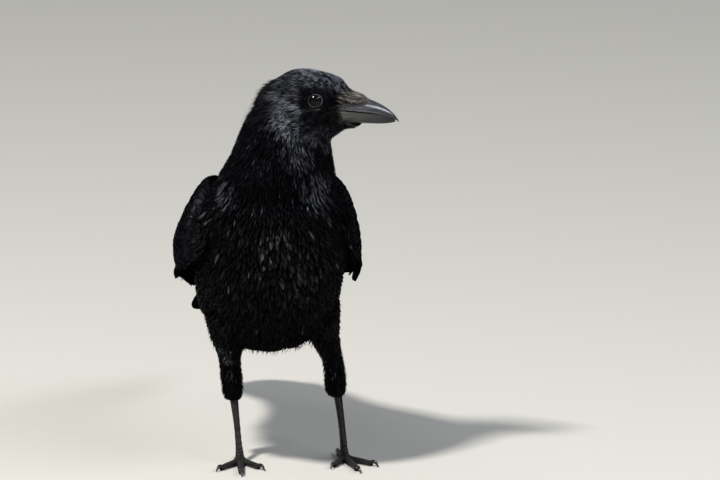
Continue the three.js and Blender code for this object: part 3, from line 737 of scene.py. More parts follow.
# Where the painted silver sheen begins and is full, in mm forward of the eyes or above them.
BROW_FROM, BROW_SLOPE = 6, 0.3
CROWN_RISE, CROWN_BACK, NAPE_PAINTED_SHEEN = (8, 14), (-16, 0), 0.25
CHEEK_FRONT, CHEEK_BACK, CHEEK_TOP, CHEEK_LOW = (-4, -9), (-34, -22), (13, 4), (-26, -14)
THROAT_TOP, THROAT_PAINTED_SHEEN = (-14, -22), 0.3
# Beside the eye the sheen fades out, a painted shade under the brow; elsewhere the least painted sheen.
EYE_PAINTED_SHADE, DULL_PAINTED_SHEEN = (8.5, 12), 0.08
OWN_SHADE, SHADE_CURVE = 0.35, 2.6  # the share of a feather's own painted sheen beside its clump's
EYE_SIDE, EYE_SHORTER, EYE_NARROWER = (13, 6.5), 0.4, 0.25  # feathers are smaller beside the eye
NAPE_FROM, NAPE_LOOSE = (-20, -32), 11  # some on the nape stand this many times further out
roots, normals, sizes = coat_part(0)
h = in_head(roots)
eye_away = np.linalg.norm(from_eye(roots), axis=1)
brow = np.maximum(h[:, 0] - BROW_FROM, 0) * BROW_SLOPE
crown = soft(*CROWN_RISE, h[:, 2] + brow)
crown = crown * (NAPE_PAINTED_SHEEN + (1 - NAPE_PAINTED_SHEEN) * soft(*CROWN_BACK, h[:, 0]))
cheek = soft(*CHEEK_FRONT, h[:, 0]) * soft(*CHEEK_BACK, h[:, 0])
cheek = cheek * soft(*CHEEK_TOP, h[:, 2]) * soft(*CHEEK_LOW, h[:, 2])
throat = soft(*THROAT_TOP, h[:, 2])
# The painted silver sheen: full on the crown and the cheek, less on the nape and the throat, none
# beside the eye.
painted_sheen = np.maximum(np.maximum(crown, cheek), THROAT_PAINTED_SHEEN * throat) * soft(*EYE_PAINTED_SHADE, eye_away)
painted_sheen = DULL_PAINTED_SHEEN + (1 - DULL_PAINTED_SHEEN) * painted_sheen
leaders = KDTree(len(roots) // CLUMP)
for i, p in enumerate(roots[:len(roots) // CLUMP]):
    leaders.insert(p, i)
leaders.balance()
clump = random.random(len(roots))[[leaders.find(p)[1] for p in roots]]
own = random.random(len(roots))
shade = painted_sheen * (OWN_SHADE * own + (1 - OWN_SHADE) * clump) ** SHADE_CURVE
beside_eye = soft(*EYE_SIDE, eye_away)
sizes = sizes * np.array([
    1 - EYE_SHORTER * beside_eye, 1 - EYE_NARROWER * beside_eye,
    1 + random.random(len(roots)) ** 4 * NAPE_LOOSE * soft(*NAPE_FROM, h[:, 0]),
])
# The pale colour is the painted silver sheen.
head_finish = feather_finish(
    "head_feather", (0.0016, 0.0016, 0.0028), (0.62, 0.67, 0.80), 5, 0.34, 0.05
)
ahead = h[:, 0] > FACE_FROM
for name, chosen in (("face_feathers", ahead), ("nape_feathers", ~ahead)):
    mesh = grown(
        name, roots[chosen], normals[chosen], sizes[:, chosen], shade[chosen], HAIR, swing=12, roll=16
    )
    made = piece(name, mesh, head_finish)
    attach(made, "root")

# ---- Neck and throat feathers ----------------------------------------------------------------
# Narrow pointed hackles, a little loose at the throat, closer on the nape.
THROAT_FACE, NAPE_LIFT, THROAT_LIFT = (0.1, 0.8), 0.8, 0.4
roots, normals, sizes = coat_part(2)
throat = soft(*THROAT_FACE, -normals[:, 1])
sizes[2] *= NAPE_LIFT + THROAT_LIFT * throat
shade = glints(roots)
# The pale colour is a painted glint.
neck_finish = feather_finish(
    "neck_feather", (0.0016, 0.0016, 0.0025), (0.30, 0.32, 0.39), 8, 0.34, 0.03
)
mesh = grown("neck_feathers", roots, normals, sizes, shade, swing=11, roll=14)
made = piece("neck_feathers", mesh, neck_finish)
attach(made, "root")

# ---- Breast, belly and back feathers ---------------------------------------------------------
# Soft overlapping contour feathers: narrow and loose on the breast and belly, broad and close on
# the back. Loose fine strands stand a little off the breast and hang from the belly.
# The pale colour is a painted glint.
body_finish = feather_finish("body_feather", (0.0016, 0.0016, 0.0018), (0.24, 0.245, 0.27), 14, 0.4)
for name, number, profile, section, roll in (
    ("breast_feathers", 3, SOFT, LOZENGE, 9), ("back_feathers", 4, ROUNDED, ARCH, 3),
):
    roots, normals, sizes = coat_part(number)
    shade = glints(roots)
    mesh = grown(name, roots, normals, sizes, shade, profile, section, camber=0.13, swing=10, roll=roll)
    made = piece(name, mesh, body_finish)
    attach(made, "root")

LOOSE_GAP, BELLY_CLOSER = 5.0, 2.2
BELLY_FACE = (-0.1, -0.7)
STRAND = ((9, 7), (0.5, 0.4), (0.9, 3.0))  # length, width and lift, and how much more on the belly
belly = soft(*BELLY_FACE, tri_normal[:, 2])
front = shares(tri_middle, tri_normal)[:, 3] > 0.5
roots, normals = scatter(LOOSE_GAP - BELLY_CLOSER * belly, off_wing & front)
belly = soft(*BELLY_FACE, normals[:, 2])
sizes = [least + more * belly for least, more in STRAND]
mesh = grown(
    "loose_strands", roots, normals, sizes, glints(roots), HAIR, swing=22, roll=20, thick=0.2
)
made = piece("loose_strands", mesh, body_finish)
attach(made, "root")

# ---- Leg feathers ----------------------------------------------------------------------------
# Short close feathers down the thigh, ending in a loose cuff over the heel.
CUFF_FROM, CUFF_LONGER, CUFF_LOOSER = (60, 34), 0.35, 1.0
roots, normals, sizes = coat_part(5)
low = soft(*CUFF_FROM, in_body(roots)[:, 2])
sizes[0] *= 1 + CUFF_LONGER * low
sizes[2] *= 1 + CUFF_LOOSER * low
shade = glints(roots)
mesh = grown("leg_feathers", roots, normals, sizes, shade, swing=10, roll=12)
made = piece("leg_feathers", mesh, neck_finish)
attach(made, "root")

# ---- Wings -----------------------------------------------------------------------------------
# Each folded wing: primaries deepest, then secondaries, tertials, the larger coverts, and rows of
# small close coverts up to the shoulder. Stiff vanes on a raised shaft, the upper on the lower.
QUILL = ((0.02, 0.08, 0.17, 0.28, 0.4, 0.52, 0.63, 0.73, 0.82, 0.89, 0.94, 0.975),
         (0.16, 0.3, 0.52, 0.74, 0.88, 0.96, 1.0, 0.99, 0.93, 0.81, 0.63, 0.4))
COVERT = ((0.1, 0.3, 0.55, 0.76, 0.91), (0.5, 0.86, 1.0, 0.9, 0.58))
QUILL_SECTION = np.array((
    (1, 0.72, 0.4, 0.07, 0, -0.07, -0.4, -0.72, -1, -0.55, 0, 0.55),
    (0.5, 0, 0, 0, 0, 0, 0, 0, 0.5, 1, 1, 1),
    (0, 0, 0, 0, 1, 0, 0, 0, 0, 0, 0, 0),
))
COVERT_SECTION = np.array(((1, 0.5, 0, -0.5, -1, 0), (0.5, 0, 0, 0, 0.5, 1), (0, 0, 0.5, 0, 0, 0)))
SHAFT, SHAFT_TAPER = 0.42 * MM, 0.75  # the shaft's height at the root, and the share lost to the tip
VANE_BODY = 0.45 * MM
FRAY = 0.05
NEXT = 0.03  # the step along a feather that gives its direction
PLUME_GLINT = 0.35  # how much of the small feathers' glints the large ones share


def plumes(name, courses, profile=QUILL, section=QUILL_SECTION, painted_sheen=0.25):
    """One mesh of large feathers. A course is (line, half width towards +side, half width towards
    -side, arch): line(t) gives the place and the outward normal at a share t of the length."""
    rows, widths = profile
    across, below, shaft = section
    count, rings, around = len(courses), len(rows), len(across)
    verts = np.empty((count, rings * around + 2, 3))
    vane = np.empty((count, rings * around + 2, 2))
    vane[:, 0], vane[:, -1] = (0.5, 0), (0.5, 1)
    for c, (line, plus, minus, arch) in enumerate(courses):
        verts[c, 0], verts[c, -1] = line(0)[0], line(1)[0]
        for r, (t, wide) in enumerate(zip(rows, widths)):
            middle, up = line(t)
            heading = unit(line(min(t + NEXT, 1))[0] - line(max(t - NEXT, 0))[0])
            side = unit(np.cross(up, heading))
            fray = 1 - random.uniform(0, FRAY, 2)
            half = np.where(across > 0, plus * fray[0], minus * fray[1]) * wide
            fall = arch * across ** 2 * half + below * VANE_BODY
            fall = fall - shaft * SHAFT * (1 - SHAFT_TAPER * t)
            ring = slice(1 + r * around, 1 + (r + 1) * around)
            verts[c, ring] = middle + (across * half)[:, None] * side - fall[:, None] * up
            vane[c, ring, 0] = 0.5 + across / 2
            vane[c, ring, 1] = t
    _, _, face = nearest(skin_tree, verts[:, 1])
    # Pale large feathers carry a painted glint: a few at random, more in the glint groups.
    shade = np.maximum(random.random(count) ** 3 * painted_sheen, PLUME_GLINT * glints(verts[:, 1]))
    return joined_mesh(name, verts, tube_faces(rings, around), vane, skin_face_map[face], shade)


def wing_normal(side, along, down):
    """The way the wing's outer face looks at a place, found from points close round it."""
    d = 0.02
    lengthwise = wing_point(side, along + d, down) - wing_point(side, along - d, down)
    downward = wing_point(side, along, down + d) - wing_point(side, along, down - d)
    return unit(-side * np.cross(lengthwise, downward))


def wing_line(side, start, end, under):
    """A feather's course over the wing, from start to end as (along, down), under the face."""
    def line(t):
        along = min(start[0] + (end[0] - start[0]) * t, WING_END)
        down = start[1] + (end[1] - start[1]) * t
        normal = wing_normal(side, min(along, WING_TIP), down)
        depth = under[0] + (under[1] - under[0]) * t
        return wing_point(side, along, down) - normal * depth * MM, normal
    return line


def between(rows, share):
    """A row part of the way through a list of rows."""
    place = share * (len(rows) - 1)
    return [np.interp(place, range(len(rows)), column) for column in np.transpose(rows)]


# Rows of start along and down, tip along and down, width, and depth under the face at root and tip,
# then how many feathers there are from the first row to the last.
PRIMARIES = ((2.8, 0.9, 5.9, 0.93, 15, 2.6, 2.0), (3.0, 0.8, 7.2, 0.84, 17, 2.6, 2.0),
             (3.2, 0.7, 8.0, 0.58, 19, 2.5, 1.8), (3.3, 0.58, 7.5, 0.3, 20, 2.2, 1.3),
             (3.4, 0.46, 6.7, 0.16, 20, 2.0, 0.9))
SECONDARIES = ((2.6, 0.74, 5.5, 0.76, 20, 2.2, 1.0), (2.5, 0.52, 5.75, 0.5, 22, 2.0, 0.7),
               (2.3, 0.3, 5.85, 0.24, 24, 1.8, 0.3))
TERTIALS = ((2.0, 0.26, 5.2, 0.26, 26, 1.3, -0.2), (1.8, 0.14, 4.9, 0.12, 26, 0.9, -0.6),
            (1.6, 0.04, 5.6, 0.02, 30, 0.5, -0.9))
EDGE_FEATHERS = ((1.2, 0.86, 2.75, 1.01, 14, 1.4, 0.4), (1.8, 0.84, 3.5, 1.01, 15, 1.8, 1.0),
                 (2.4, 0.84, 4.35, 1.0, 15, 2.2, 1.4))
GREATER = ((1.3, 0.93, 3.0, 0.97, 12, 1.7, 0.2), (1.7, 0.55, 3.6, 0.56, 14, 1.5, -0.1),
           (1.6, 0.16, 3.5, 0.14, 16, 1.2, -0.6))
MEDIAN = ((0.9, 0.93, 2.2, 0.96, 10, 1.4, -0.3), (1.1, 0.55, 2.8, 0.56, 12, 1.2, -0.6),
          (1.0, 0.16, 2.7, 0.14, 13, 0.9, -1.0))
LAYERS = (
    (PRIMARIES, 9), (EDGE_FEATHERS, 4), (SECONDARIES, 8), (TERTIALS, 5), (GREATER, 12), (MEDIAN, 14),
)
# Coverts over the lower edge hang free: where each ends, in mm from the origin, and its half width.
HANGING = {
    1: ((69.6, 41, 134.0, 5.8), (69.3, 15, 145.0, 4.4), (64.5, 41, 138.5, 3.6)),
    -1: ((-69.0, 40, 140.1, 3.3), (-53, 78, 127, 5.5), (-56, 72, 130, 5.5)),
}
LOBE = ((0.1, 0.3, 0.6, 0.8, 0.87, 0.94), (0.5, 0.9, 1.0, 0.9, 0.72, 0.4))
SECTION_LONG, HANG_OVER = 31, 1.7  # mm from one section of the wing to the next, and the first one
HANG_ROOT, HANG_KNEE = (1.4, 0.8), (0.55, 0.96)  # how far before the tip they are, and how far down
HANG_DOWN, HANG_FORWARD = 0.9, -1.6


def hanging_line(side, tip):
    """From under the larger coverts down to a tip below the wing's edge."""
    tip = np.array(ORIGIN) + np.array(tip) * MM
    over = (tip[1] - ORIGIN.y) / MM / SECTION_LONG + HANG_OVER  # the place nearest the tip
    root, knee = (wing_point(side, over - before, down) for before, down in (HANG_ROOT, HANG_KNEE))

    def line(t):
        face = wing_normal(side, over - HANG_ROOT[0] * (1 - t), HANG_DOWN)
        normal = unit(face + t * np.array((0, HANG_FORWARD, 0)))
        return (1 - t) ** 2 * root + 2 * t * (1 - t) * knee + t * t * tip, normal
    return line


SCAPULAR_FROM, SCAPULAR_TO = 1.3, 3.3
SCAPULAR_ROWS, SCAPULARS_EACH = 7, 4
SCAPULAR_TOP, SCAPULAR_GAP = 0.07, 0.075  # the highest one's place down the wing, and the next one's
SCAPULAR_REACH, SCAPULAR_HALF = (0.95, 1.15), (6.0, 7.4)
SCAPULAR_UNDER, SCAPULAR_ARCH = (0.4, -1.4), 0.22


def scapulars(side):
    """Courses of the long shoulder feathers that lie over the wing's upper edge, hindmost first."""
    courses = []
    for row, along in enumerate(np.linspace(SCAPULAR_TO, SCAPULAR_FROM, SCAPULAR_ROWS)):
        for k in range(SCAPULARS_EACH):
            down = SCAPULAR_TOP + (k + 0.5 * (row % 2)) * SCAPULAR_GAP
            reach = random.uniform(*SCAPULAR_REACH)
            half = random.uniform(*SCAPULAR_HALF) * MM
            line = wing_line(side, (along, down), (along + reach, down + 0.02), SCAPULAR_UNDER)
            courses.append((line, half, half, SCAPULAR_ARCH))
    return courses


# Small coverts, from the first row to the last: places, their gap, reach and half width in mm, and
# the step from row to row, each as its least and how much more it gets.
SMALL_FROM, SMALL_TO = 0.4, 2.0
SMALL_GAP, SMALL_REACH, SMALL_HALF, SMALL_STEP = (4.2, 3.2), (0.44, 0.34), (3.3, 2.7), (0.15, 0.07)
SMALL_UNDER, SMALL_ARCH = (0.7, -1.0), 0.14
REACH_SPREAD, HALF_SPREAD, TIP_DOWN = (0.88, 1.12), (0.9, 1.1), (0.02, 0.012)
UPPER_EDGE = 0.05  # the share of the way down where the highest ones start


def small_coverts(side):
    """Courses of the small coverts, row behind row, each row over the roots of the next."""
    courses, along, row = [], SMALL_FROM, 0
    while along < SMALL_TO:
        grade = (along - SMALL_FROM) / (SMALL_TO - SMALL_FROM)
        edge = [wing_point(side, along, down) for down in (0, 0.5, 1)]
        girth = (np.linalg.norm(edge[1] - edge[0]) + np.linalg.norm(edge[2] - edge[1])) / MM
        count = round(girth / (SMALL_GAP[0] + SMALL_GAP[1] * grade))
        for k in range(count):
            down = UPPER_EDGE + (1 - UPPER_EDGE) * (k + 0.25 + 0.5 * (row % 2)) / count
            reach = (SMALL_REACH[0] + SMALL_REACH[1] * grade) * random.uniform(*REACH_SPREAD)
            half = (SMALL_HALF[0] + SMALL_HALF[1] * grade) * random.uniform(*HALF_SPREAD) * MM
            tip_down = min(down + random.normal(*TIP_DOWN), 1)
            line = wing_line(side, (along, down), (along + reach, tip_down), SMALL_UNDER)
            courses.append((line, half, half, SMALL_ARCH))
        along += SMALL_STEP[0] + SMALL_STEP[1] * grade
        row += 1
    return courses


OUTER_VANE, VANE_ARCH = 0.44, 0.1  # the outer vane's share of the width
TIP_STRAY = 0.05
# The pale colours are painted glints.
flight_finish = feather_finish(
    "flight_feather", (0.0016, 0.0016, 0.0022), (0.007, 0.0078, 0.011), 60, 0.42, 0.06
)
wing_finish = feather_finish(
    "wing_covert", (0.0016, 0.0016, 0.0026), (0.16, 0.17, 0.20), 20, 0.42, 0.06
)
for side_name, side in (("left", 1), ("right", -1)):
    courses = []
    for rows, count in LAYERS:
        for i in range(count):
            a, b, c, d, width, root, tip = between(rows, i / (count - 1))
            outer, inner = OUTER_VANE * width * MM, (1 - OUTER_VANE) * width * MM
            c += random.uniform(-TIP_STRAY, TIP_STRAY)
            halves = (outer, inner) if side > 0 else (inner, outer)
            courses.append((wing_line(side, (a, b), (c, d), (root, tip)), *halves, VANE_ARCH))
    name = "flight_feathers_" + side_name
    made = piece(name, plumes(name, courses), flight_finish)
    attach(made, "root")
    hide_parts("secondaries_" + side_name, "primaries_" + side_name)

    courses = [
        (hanging_line(side, tip), half * MM, half * MM, VANE_ARCH) for *tip, half in HANGING[side]
    ]
    name = "hanging_coverts_" + side_name
    made = piece(name, plumes(name, courses, LOBE), flight_finish)
    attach(made, "root")

    name = "wing_coverts_" + side_name
    courses = scapulars(side) + small_coverts(side)
    mesh = plumes(name, courses, COVERT, COVERT_SECTION, 0.03)
    made = piece(name, mesh, wing_finish)
    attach(made, "root")

# ---- Tail ------------------------------------------------------------------------------------
# Twelve tail feathers closed like a fan: the middle pair on top, each next pair a little lower,
# shorter and turned further out.
TAIL_FROM, TAIL_TO = Vector((0, 102, 148.5)), Vector((0, 261, 67.5))  # in mm from the origin
TAIL_ROOT = ORIGIN + TAIL_FROM * MM
TAIL_FALL = math.atan2(TAIL_FROM.z - TAIL_TO.z, TAIL_TO.y - TAIL_FROM.y)
TAIL_TURN = math.radians(0.6)  # to the bird's right
FAN_FROM, FAN_STEP = 0.6, 0.95  # degrees from the middle to the first pair, and on to the next
TAIL_LENGTH, TAIL_WIDTH, TAIL_ARCH = 183.0, 28.0, 0.05
TAIL_PAIRS, TAIL_BODY = 6, 1.2  # and how thick the middle pair's place in the fan is, in mm
MIDDLE_OUT, PAIR_OUT = 0.6, 1.3  # mm from the middle of the first pair, and more for each next pair
PAIR_SHORTER, PAIR_LOWER, PAIR_NARROWER = 0.55, 0.75, 0.03
PAIR_LEAN = -1.2  # degrees more for each next pair
LEFT_LOWER = 0.35  # the left one of a pair lies under the right one


def tail_line(side, pair):
    """A tail feather's course; pair 0 is the middle one."""
    turn = (
        Matrix.Rotation(TAIL_TURN, 3, "Z")
        @ Matrix.Rotation(-TAIL_FALL, 3, "X")
        @ Matrix.Rotation(math.radians(side * (FAN_FROM + FAN_STEP * pair)) + math.pi / 2, 3, "Z")
    )
    lean = Matrix.Rotation(side * math.radians(PAIR_LEAN * pair), 3, "X")
    length = TAIL_LENGTH - PAIR_SHORTER * pair * pair
    height = TAIL_BODY - PAIR_LOWER * pair - (LEFT_LOWER if side > 0 else 0)
    apart = Vector((0, side * (MIDDLE_OUT + PAIR_OUT * pair), 0))

    def line(t):
        flat = lean @ Vector((length * t, 0, height)) + apart
        return np.array(TAIL_ROOT + turn @ flat * MM), np.array(turn @ lean @ Vector((0, 0, 1)))
    return line


courses = []
for pair in range(TAIL_PAIRS):
    for side in (1, -1):
        outer = (0.5 - PAIR_NARROWER * pair) * TAIL_WIDTH * MM
        inner = (0.5 + PAIR_NARROWER * pair) * TAIL_WIDTH * MM
        halves = (inner, outer) if side > 0 else (outer, inner)
        courses.append((tail_line(side, pair), *halves, TAIL_ARCH))
tail = piece("tail_feathers", plumes("tail_feathers", courses), flight_finish)
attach(tail, "root")
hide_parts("tail")

# ---- Bill ------------------------------------------------------------------------------------
# Two halves of slate-grey horn over bone, the grey partly a painted sky reflection. The upper arches
# to a ridge and hooks a little over the tip; its cutting edge overlaps the lower half, which is
# duller and browner, the brown a painted reflection of water.
UPPER_BILL = np.array((
    (10, 0, -7, 8.3), (20, 0.5, -8.1, 8.9), (30, 0.3, -9.4, 8.6), (36, -0.6, -10.2, 8.0),
    (40.3, -1.9, -10.8, 7.3), (48.2, -5, -12.5, 5.8), (55.5, -9.4, -14.7, 4.1),
    (60.4, -13.6, -17, 2.5), (63.4, -17.4, -19.2, 1.1), (64.7, -19.8, -20.5, 0.3),
))
LOWER_BILL = np.array((
    (10, -19.8, -7.2, 8.0), (20.5, -20.2, -8.2, 8.8), (30, -20.6, -9.4, 8.5),
    (40, -21.1, -10.8, 7.28), (50.9, -21.4, -13.2, 5.2), (58, -21, -15.8, 3.2),
    (61.8, -20.2, -18.0, 0.8),
))
ARCH_SHARE = 0.72  # the share of a section that is outer face; the rest is the inner face
BILL_ROUNDNESS = 0.92
LIP, LIP_OUT = 0.16, 0.018
KEEL, KEEL_WIDE = 0.035, 0.22  # the ridge along the top: its height and its width
MOUTH_WIDE, MOUTH_ARCH = 0.9, 0.175  # the inner face, as shares of the half's width and height
HORN_DARKENS = (0.35, 0.9)  # where the tip's colour begins and is full, along the bill
UPPER_OVERLAP = 0.12
BILL_STEPS = (64, 44)  # along a half and round it
GRAIN = 0.13  # the grain is drawn out along the bill by the inverse of this


WELD = 1e-7


def sleeve(bm, along, around, point):
    """A closed tube: a grid rolled up, with each corner at point(share along, share around)."""
    grid = bmesh.ops.create_grid(bm, x_segments=along, y_segments=around, size=0.5)["verts"]
    for v in grid:
        v.co = point(v.co.x + 0.5, v.co.y + 0.5)
    bmesh.ops.remove_doubles(bm, verts=grid, dist=WELD)
    bmesh.ops.holes_fill(bm, edges=[e for e in bm.edges if e.is_boundary], sides=0)
    bmesh.ops.recalc_face_normals(bm, faces=bm.faces)


def bill_half(name, rows, overlap):
    """overlap is how far the outer face's lip reaches past the cutting edge."""
    def point(t, a):
        x = rows[0, 0] + (rows[-1, 0] - rows[0, 0]) * t
        ridge, edge, width = through(rows, x)
        rise = ridge - edge
        if a < ARCH_SHARE:
            angle = math.pi * a / ARCH_SHARE
            keel = 1 + KEEL * math.exp(-((angle - math.pi / 2) / KEEL_WIDE) ** 2)
            lip = math.exp(-(math.sin(angle) / LIP) ** 2)
            y = width * math.cos(angle) * (1 + LIP_OUT * lip)
            z = edge + rise * keel * math.sin(angle) ** BILL_ROUNDNESS
            z -= math.copysign(overlap, rise) * lip
        else:
            share = (a - ARCH_SHARE) / (1 - ARCH_SHARE) * 2 - 1
            y = MOUTH_WIDE * width * share
            z = edge + MOUTH_ARCH * rise * (1 - share ** 2)
        return head_place + head_turn @ Vector((x, y, z)) * MM

    bm = bmesh.new()
    sleeve(bm, *BILL_STEPS, point)
    return mesh_from(bm, name)


def bill_finish(name, dark, light, roughness, gloss):
    """Horn with a grain along the bill, darkening towards its tip."""
    made, shader, tree = material(name, dark, roughness, Specular_IOR_Level=gloss)
    grain = node(tree, "Mapping", {
        "Vector": node(tree, "TexCoord").outputs["Object"],
        "Rotation": (0, 0, -HEAD_TURN), "Scale": (GRAIN, 1, 1),
    })
    mottled(shader, tree, 700, dark, light, 0.06, grain.outputs["Vector"])
    along = node(tree, "Attribute", attribute_name="along").outputs["Fac"]
    tip_share = node(tree, "MapRange", {
        "Value": along, "From Min": HORN_DARKENS[0], "From Max": HORN_DARKENS[1],
    })
    horn_colour = shader.inputs["Base Color"].links[0].from_socket
    blend = node(tree, "Mix", {
        0: tip_share.outputs["Result"], 6: horn_colour, 7: (*BILL_TIP, 1),
    }, data_type="RGBA")
    tree.links.new(blend.outputs[2], shader.inputs["Base Color"])
    return made


BILL_TIP = (0.008, 0.008, 0.009)
bill_meshes = []
# Both horn colours are partly painted reflection: the upper's pale blue-grey of sky, the lower's brown
# of water.
for name, rows, overlap, finish in (
    ("upper_bill", UPPER_BILL, UPPER_OVERLAP,
     bill_finish("upper_horn_painted_reflection", (0.022, 0.023, 0.031), (0.075, 0.077, 0.098), 0.24, 1.0)),
    ("lower_bill", LOWER_BILL, 0.0,
     bill_finish("lower_horn_painted_reflection", (0.032, 0.032, 0.031), (0.095, 0.094, 0.088), 0.3, 0.4)),
):
    horn = bill_half(name, rows, overlap)
    reach = in_head(np.array([v.co for v in horn.vertices]))[:, 0]
    share = (reach - rows[0, 0]) / (rows[-1, 0] - rows[0, 0])
    horn.attributes.new("along", "FLOAT", "POINT").data.foreach_set("value", share)
    bill_meshes.append(horn)
    made = piece(name + "_horn", horn, finish)
    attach(made, "root")
    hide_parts(name)

# ---- Bristles --------------------------------------------------------------------------------
# Stiff grey-brown bristles lie forward from the forehead over the nostrils and the bill's base,
# and a few short ones forward from the lores over the gape.
BRISTLE_GAP, LORE_GAP = 0.75, 0.95
# Where bristles grow, in mm before the eyes and above them; their back and top edges are ragged.
PAD_AHEAD, PAD_HIGH, PAD_BEGINS, PAD_TOP = (15, 40), (-6, 8.2), (14.5, 20.5), (6, 8.4)
LORE_AHEAD, LORE_HIGH, LORE_TOP = (11, 21.5), (-24, -1), -3
BRISTLE_END = 41.5  # the furthest forward a bristle reaches, in mm before the eyes
BRISTLE_LONG, BRISTLE_SPREAD = (4, 14), (0.75, 1)
SHORT_BEHIND, SHORT_LONG = 19, 7.5
# Bristles are darker low down and further back, and darkened under the chin as a painted shade.
DARKER_LOW, DARKER_BACK, CHIN_PAINTED_SHADE = (-3, -8), (13, 19), (-19, -14)
BRISTLE_CURVE, LOW_CURVE = 1.7, 1.5  # the higher, the fewer pale bristles


def within(ahead, high):
    """Where the form's triangles lie between limits before the eyes and above them."""
    h = in_head(tri_middle)
    return (h[:, 0] > ahead[0]) & (h[:, 0] < ahead[1]) & (h[:, 2] > high[0]) & (h[:, 2] < high[1])


def bristle_way(points, normals):
    """Forward along the bill and a little down."""
    h = in_head(points)
    way = np.stack([np.ones(len(h)), -0.03 * h[:, 1], -0.2 - 0.012 * np.abs(h[:, 1])], 1)
    return along_surface(way @ HEAD_AXES.T, normals)


base_verts, base_faces = [], []
for mesh in (form_mesh, bill_meshes[0]):
    base_faces += [[i + len(base_verts) for i in p.vertices] for p in mesh.polygons]
    base_verts += [v.co for v in mesh.vertices]
bill_base = BVHTree.FromPolygons(base_verts, base_faces)
pad, lores = within(PAD_AHEAD, PAD_HIGH), within(LORE_AHEAD, LORE_HIGH)
roots, normals = scatter(np.where(pad, BRISTLE_GAP, LORE_GAP), pad | lores)
h = in_head(roots)
begun = h[:, 0] > random.uniform(*PAD_BEGINS, len(h))
begun &= h[:, 2] < random.uniform(*PAD_TOP, len(h))
begun |= h[:, 2] < LORE_TOP
roots, normals, h = roots[begun], normals[begun], h[begun]
long = np.where(h[:, 0] > SHORT_BEHIND, np.clip(BRISTLE_END - h[:, 0], *BRISTLE_LONG), SHORT_LONG)
long = long * random.uniform(*BRISTLE_SPREAD, len(h))
low = soft(*DARKER_LOW, h[:, 2])
shade = random.random(len(h)) ** (BRISTLE_CURVE + LOW_CURVE * low)
# Darker further back, and a painted shade under the chin.
shade = shade * soft(*DARKER_BACK, h[:, 0]) * soft(*CHIN_PAINTED_SHADE, h[:, 2])
bristle_finish = feather_finish(
    "bristle", (0.008, 0.0075, 0.007), (0.62, 0.59, 0.53), 3, 0.45, 0.12
)
mesh = grown(
    "nasal_bristles", roots, normals, (long, 0.46, 0.7), shade, POINTED, swing=6, roll=20,
    thick=0.25, way=bristle_way, over=bill_base,
)
made = piece("nasal_bristles", mesh, bristle_finish)
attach(made, "root")

# ---- Eyes ------------------------------------------------------------------------------------
# Dark eyes: a wet clear front over a brown-black iris and a black pupil. Each looks a little
# forward, and sits in bare lids with a thin pale edge and a fold under the lower lid.
EYE_RADIUS = 8.0
CORNEA_EASE = 2.5  # the lower, the softer the passage from the clear front to the white
CORNEA_RADIUS, CORNEA_AHEAD = 5.0, 3.8  # the clear front is a smaller ball set forward
# Colours by the angle from the middle of the pupil, in radians: the pupil's edge, and the iris.
IRIS = (
    (0.36, (0.0005, 0.0005, 0.0005, 1)), (0.40, (0.0020, 0.0015, 0.0013, 1)),
    (0.66, (0.0016, 0.0013, 0.0011, 1)),
)
eye_finish, shader, tree = material("eye", (0.004, 0.003, 0.003), 0.08, Specular_IOR_Level=0.15)
turn_off = node(tree, "Attribute", attribute_name="from_pupil").outputs["Fac"]
rings = node(tree, "ValToRGB", {"Fac": turn_off})
rings.color_ramp.elements[0].color = (0.0005, 0.0005, 0.0005, 1)
rings.color_ramp.elements[1].color = (0.002, 0.0015, 0.0015, 1)
for position, colour in IRIS:
    rings.color_ramp.elements.new(position).color = colour
tree.links.new(rings.outputs["Color"], shader.inputs["Base Color"])

lid_finish, shader, tree = material("lid_skin", (0.006, 0.006, 0.007), 0.6, Specular_IOR_Level=0.04)
mottled(shader, tree, 1500, (0.003, 0.003, 0.0035), (0.007, 0.007, 0.008), 0.15)
edge = node(tree, "Attribute", attribute_name="pale_edge").outputs["Fac"]
skin_colour = shader.inputs["Base Color"].links[0].from_socket
blend = node(tree, "Mix", {0: edge, 6: skin_colour, 7: (0.13, 0.13, 0.135, 1)}, data_type="RGBA")
tree.links.new(blend.outputs[2], shader.inputs["Base Color"])

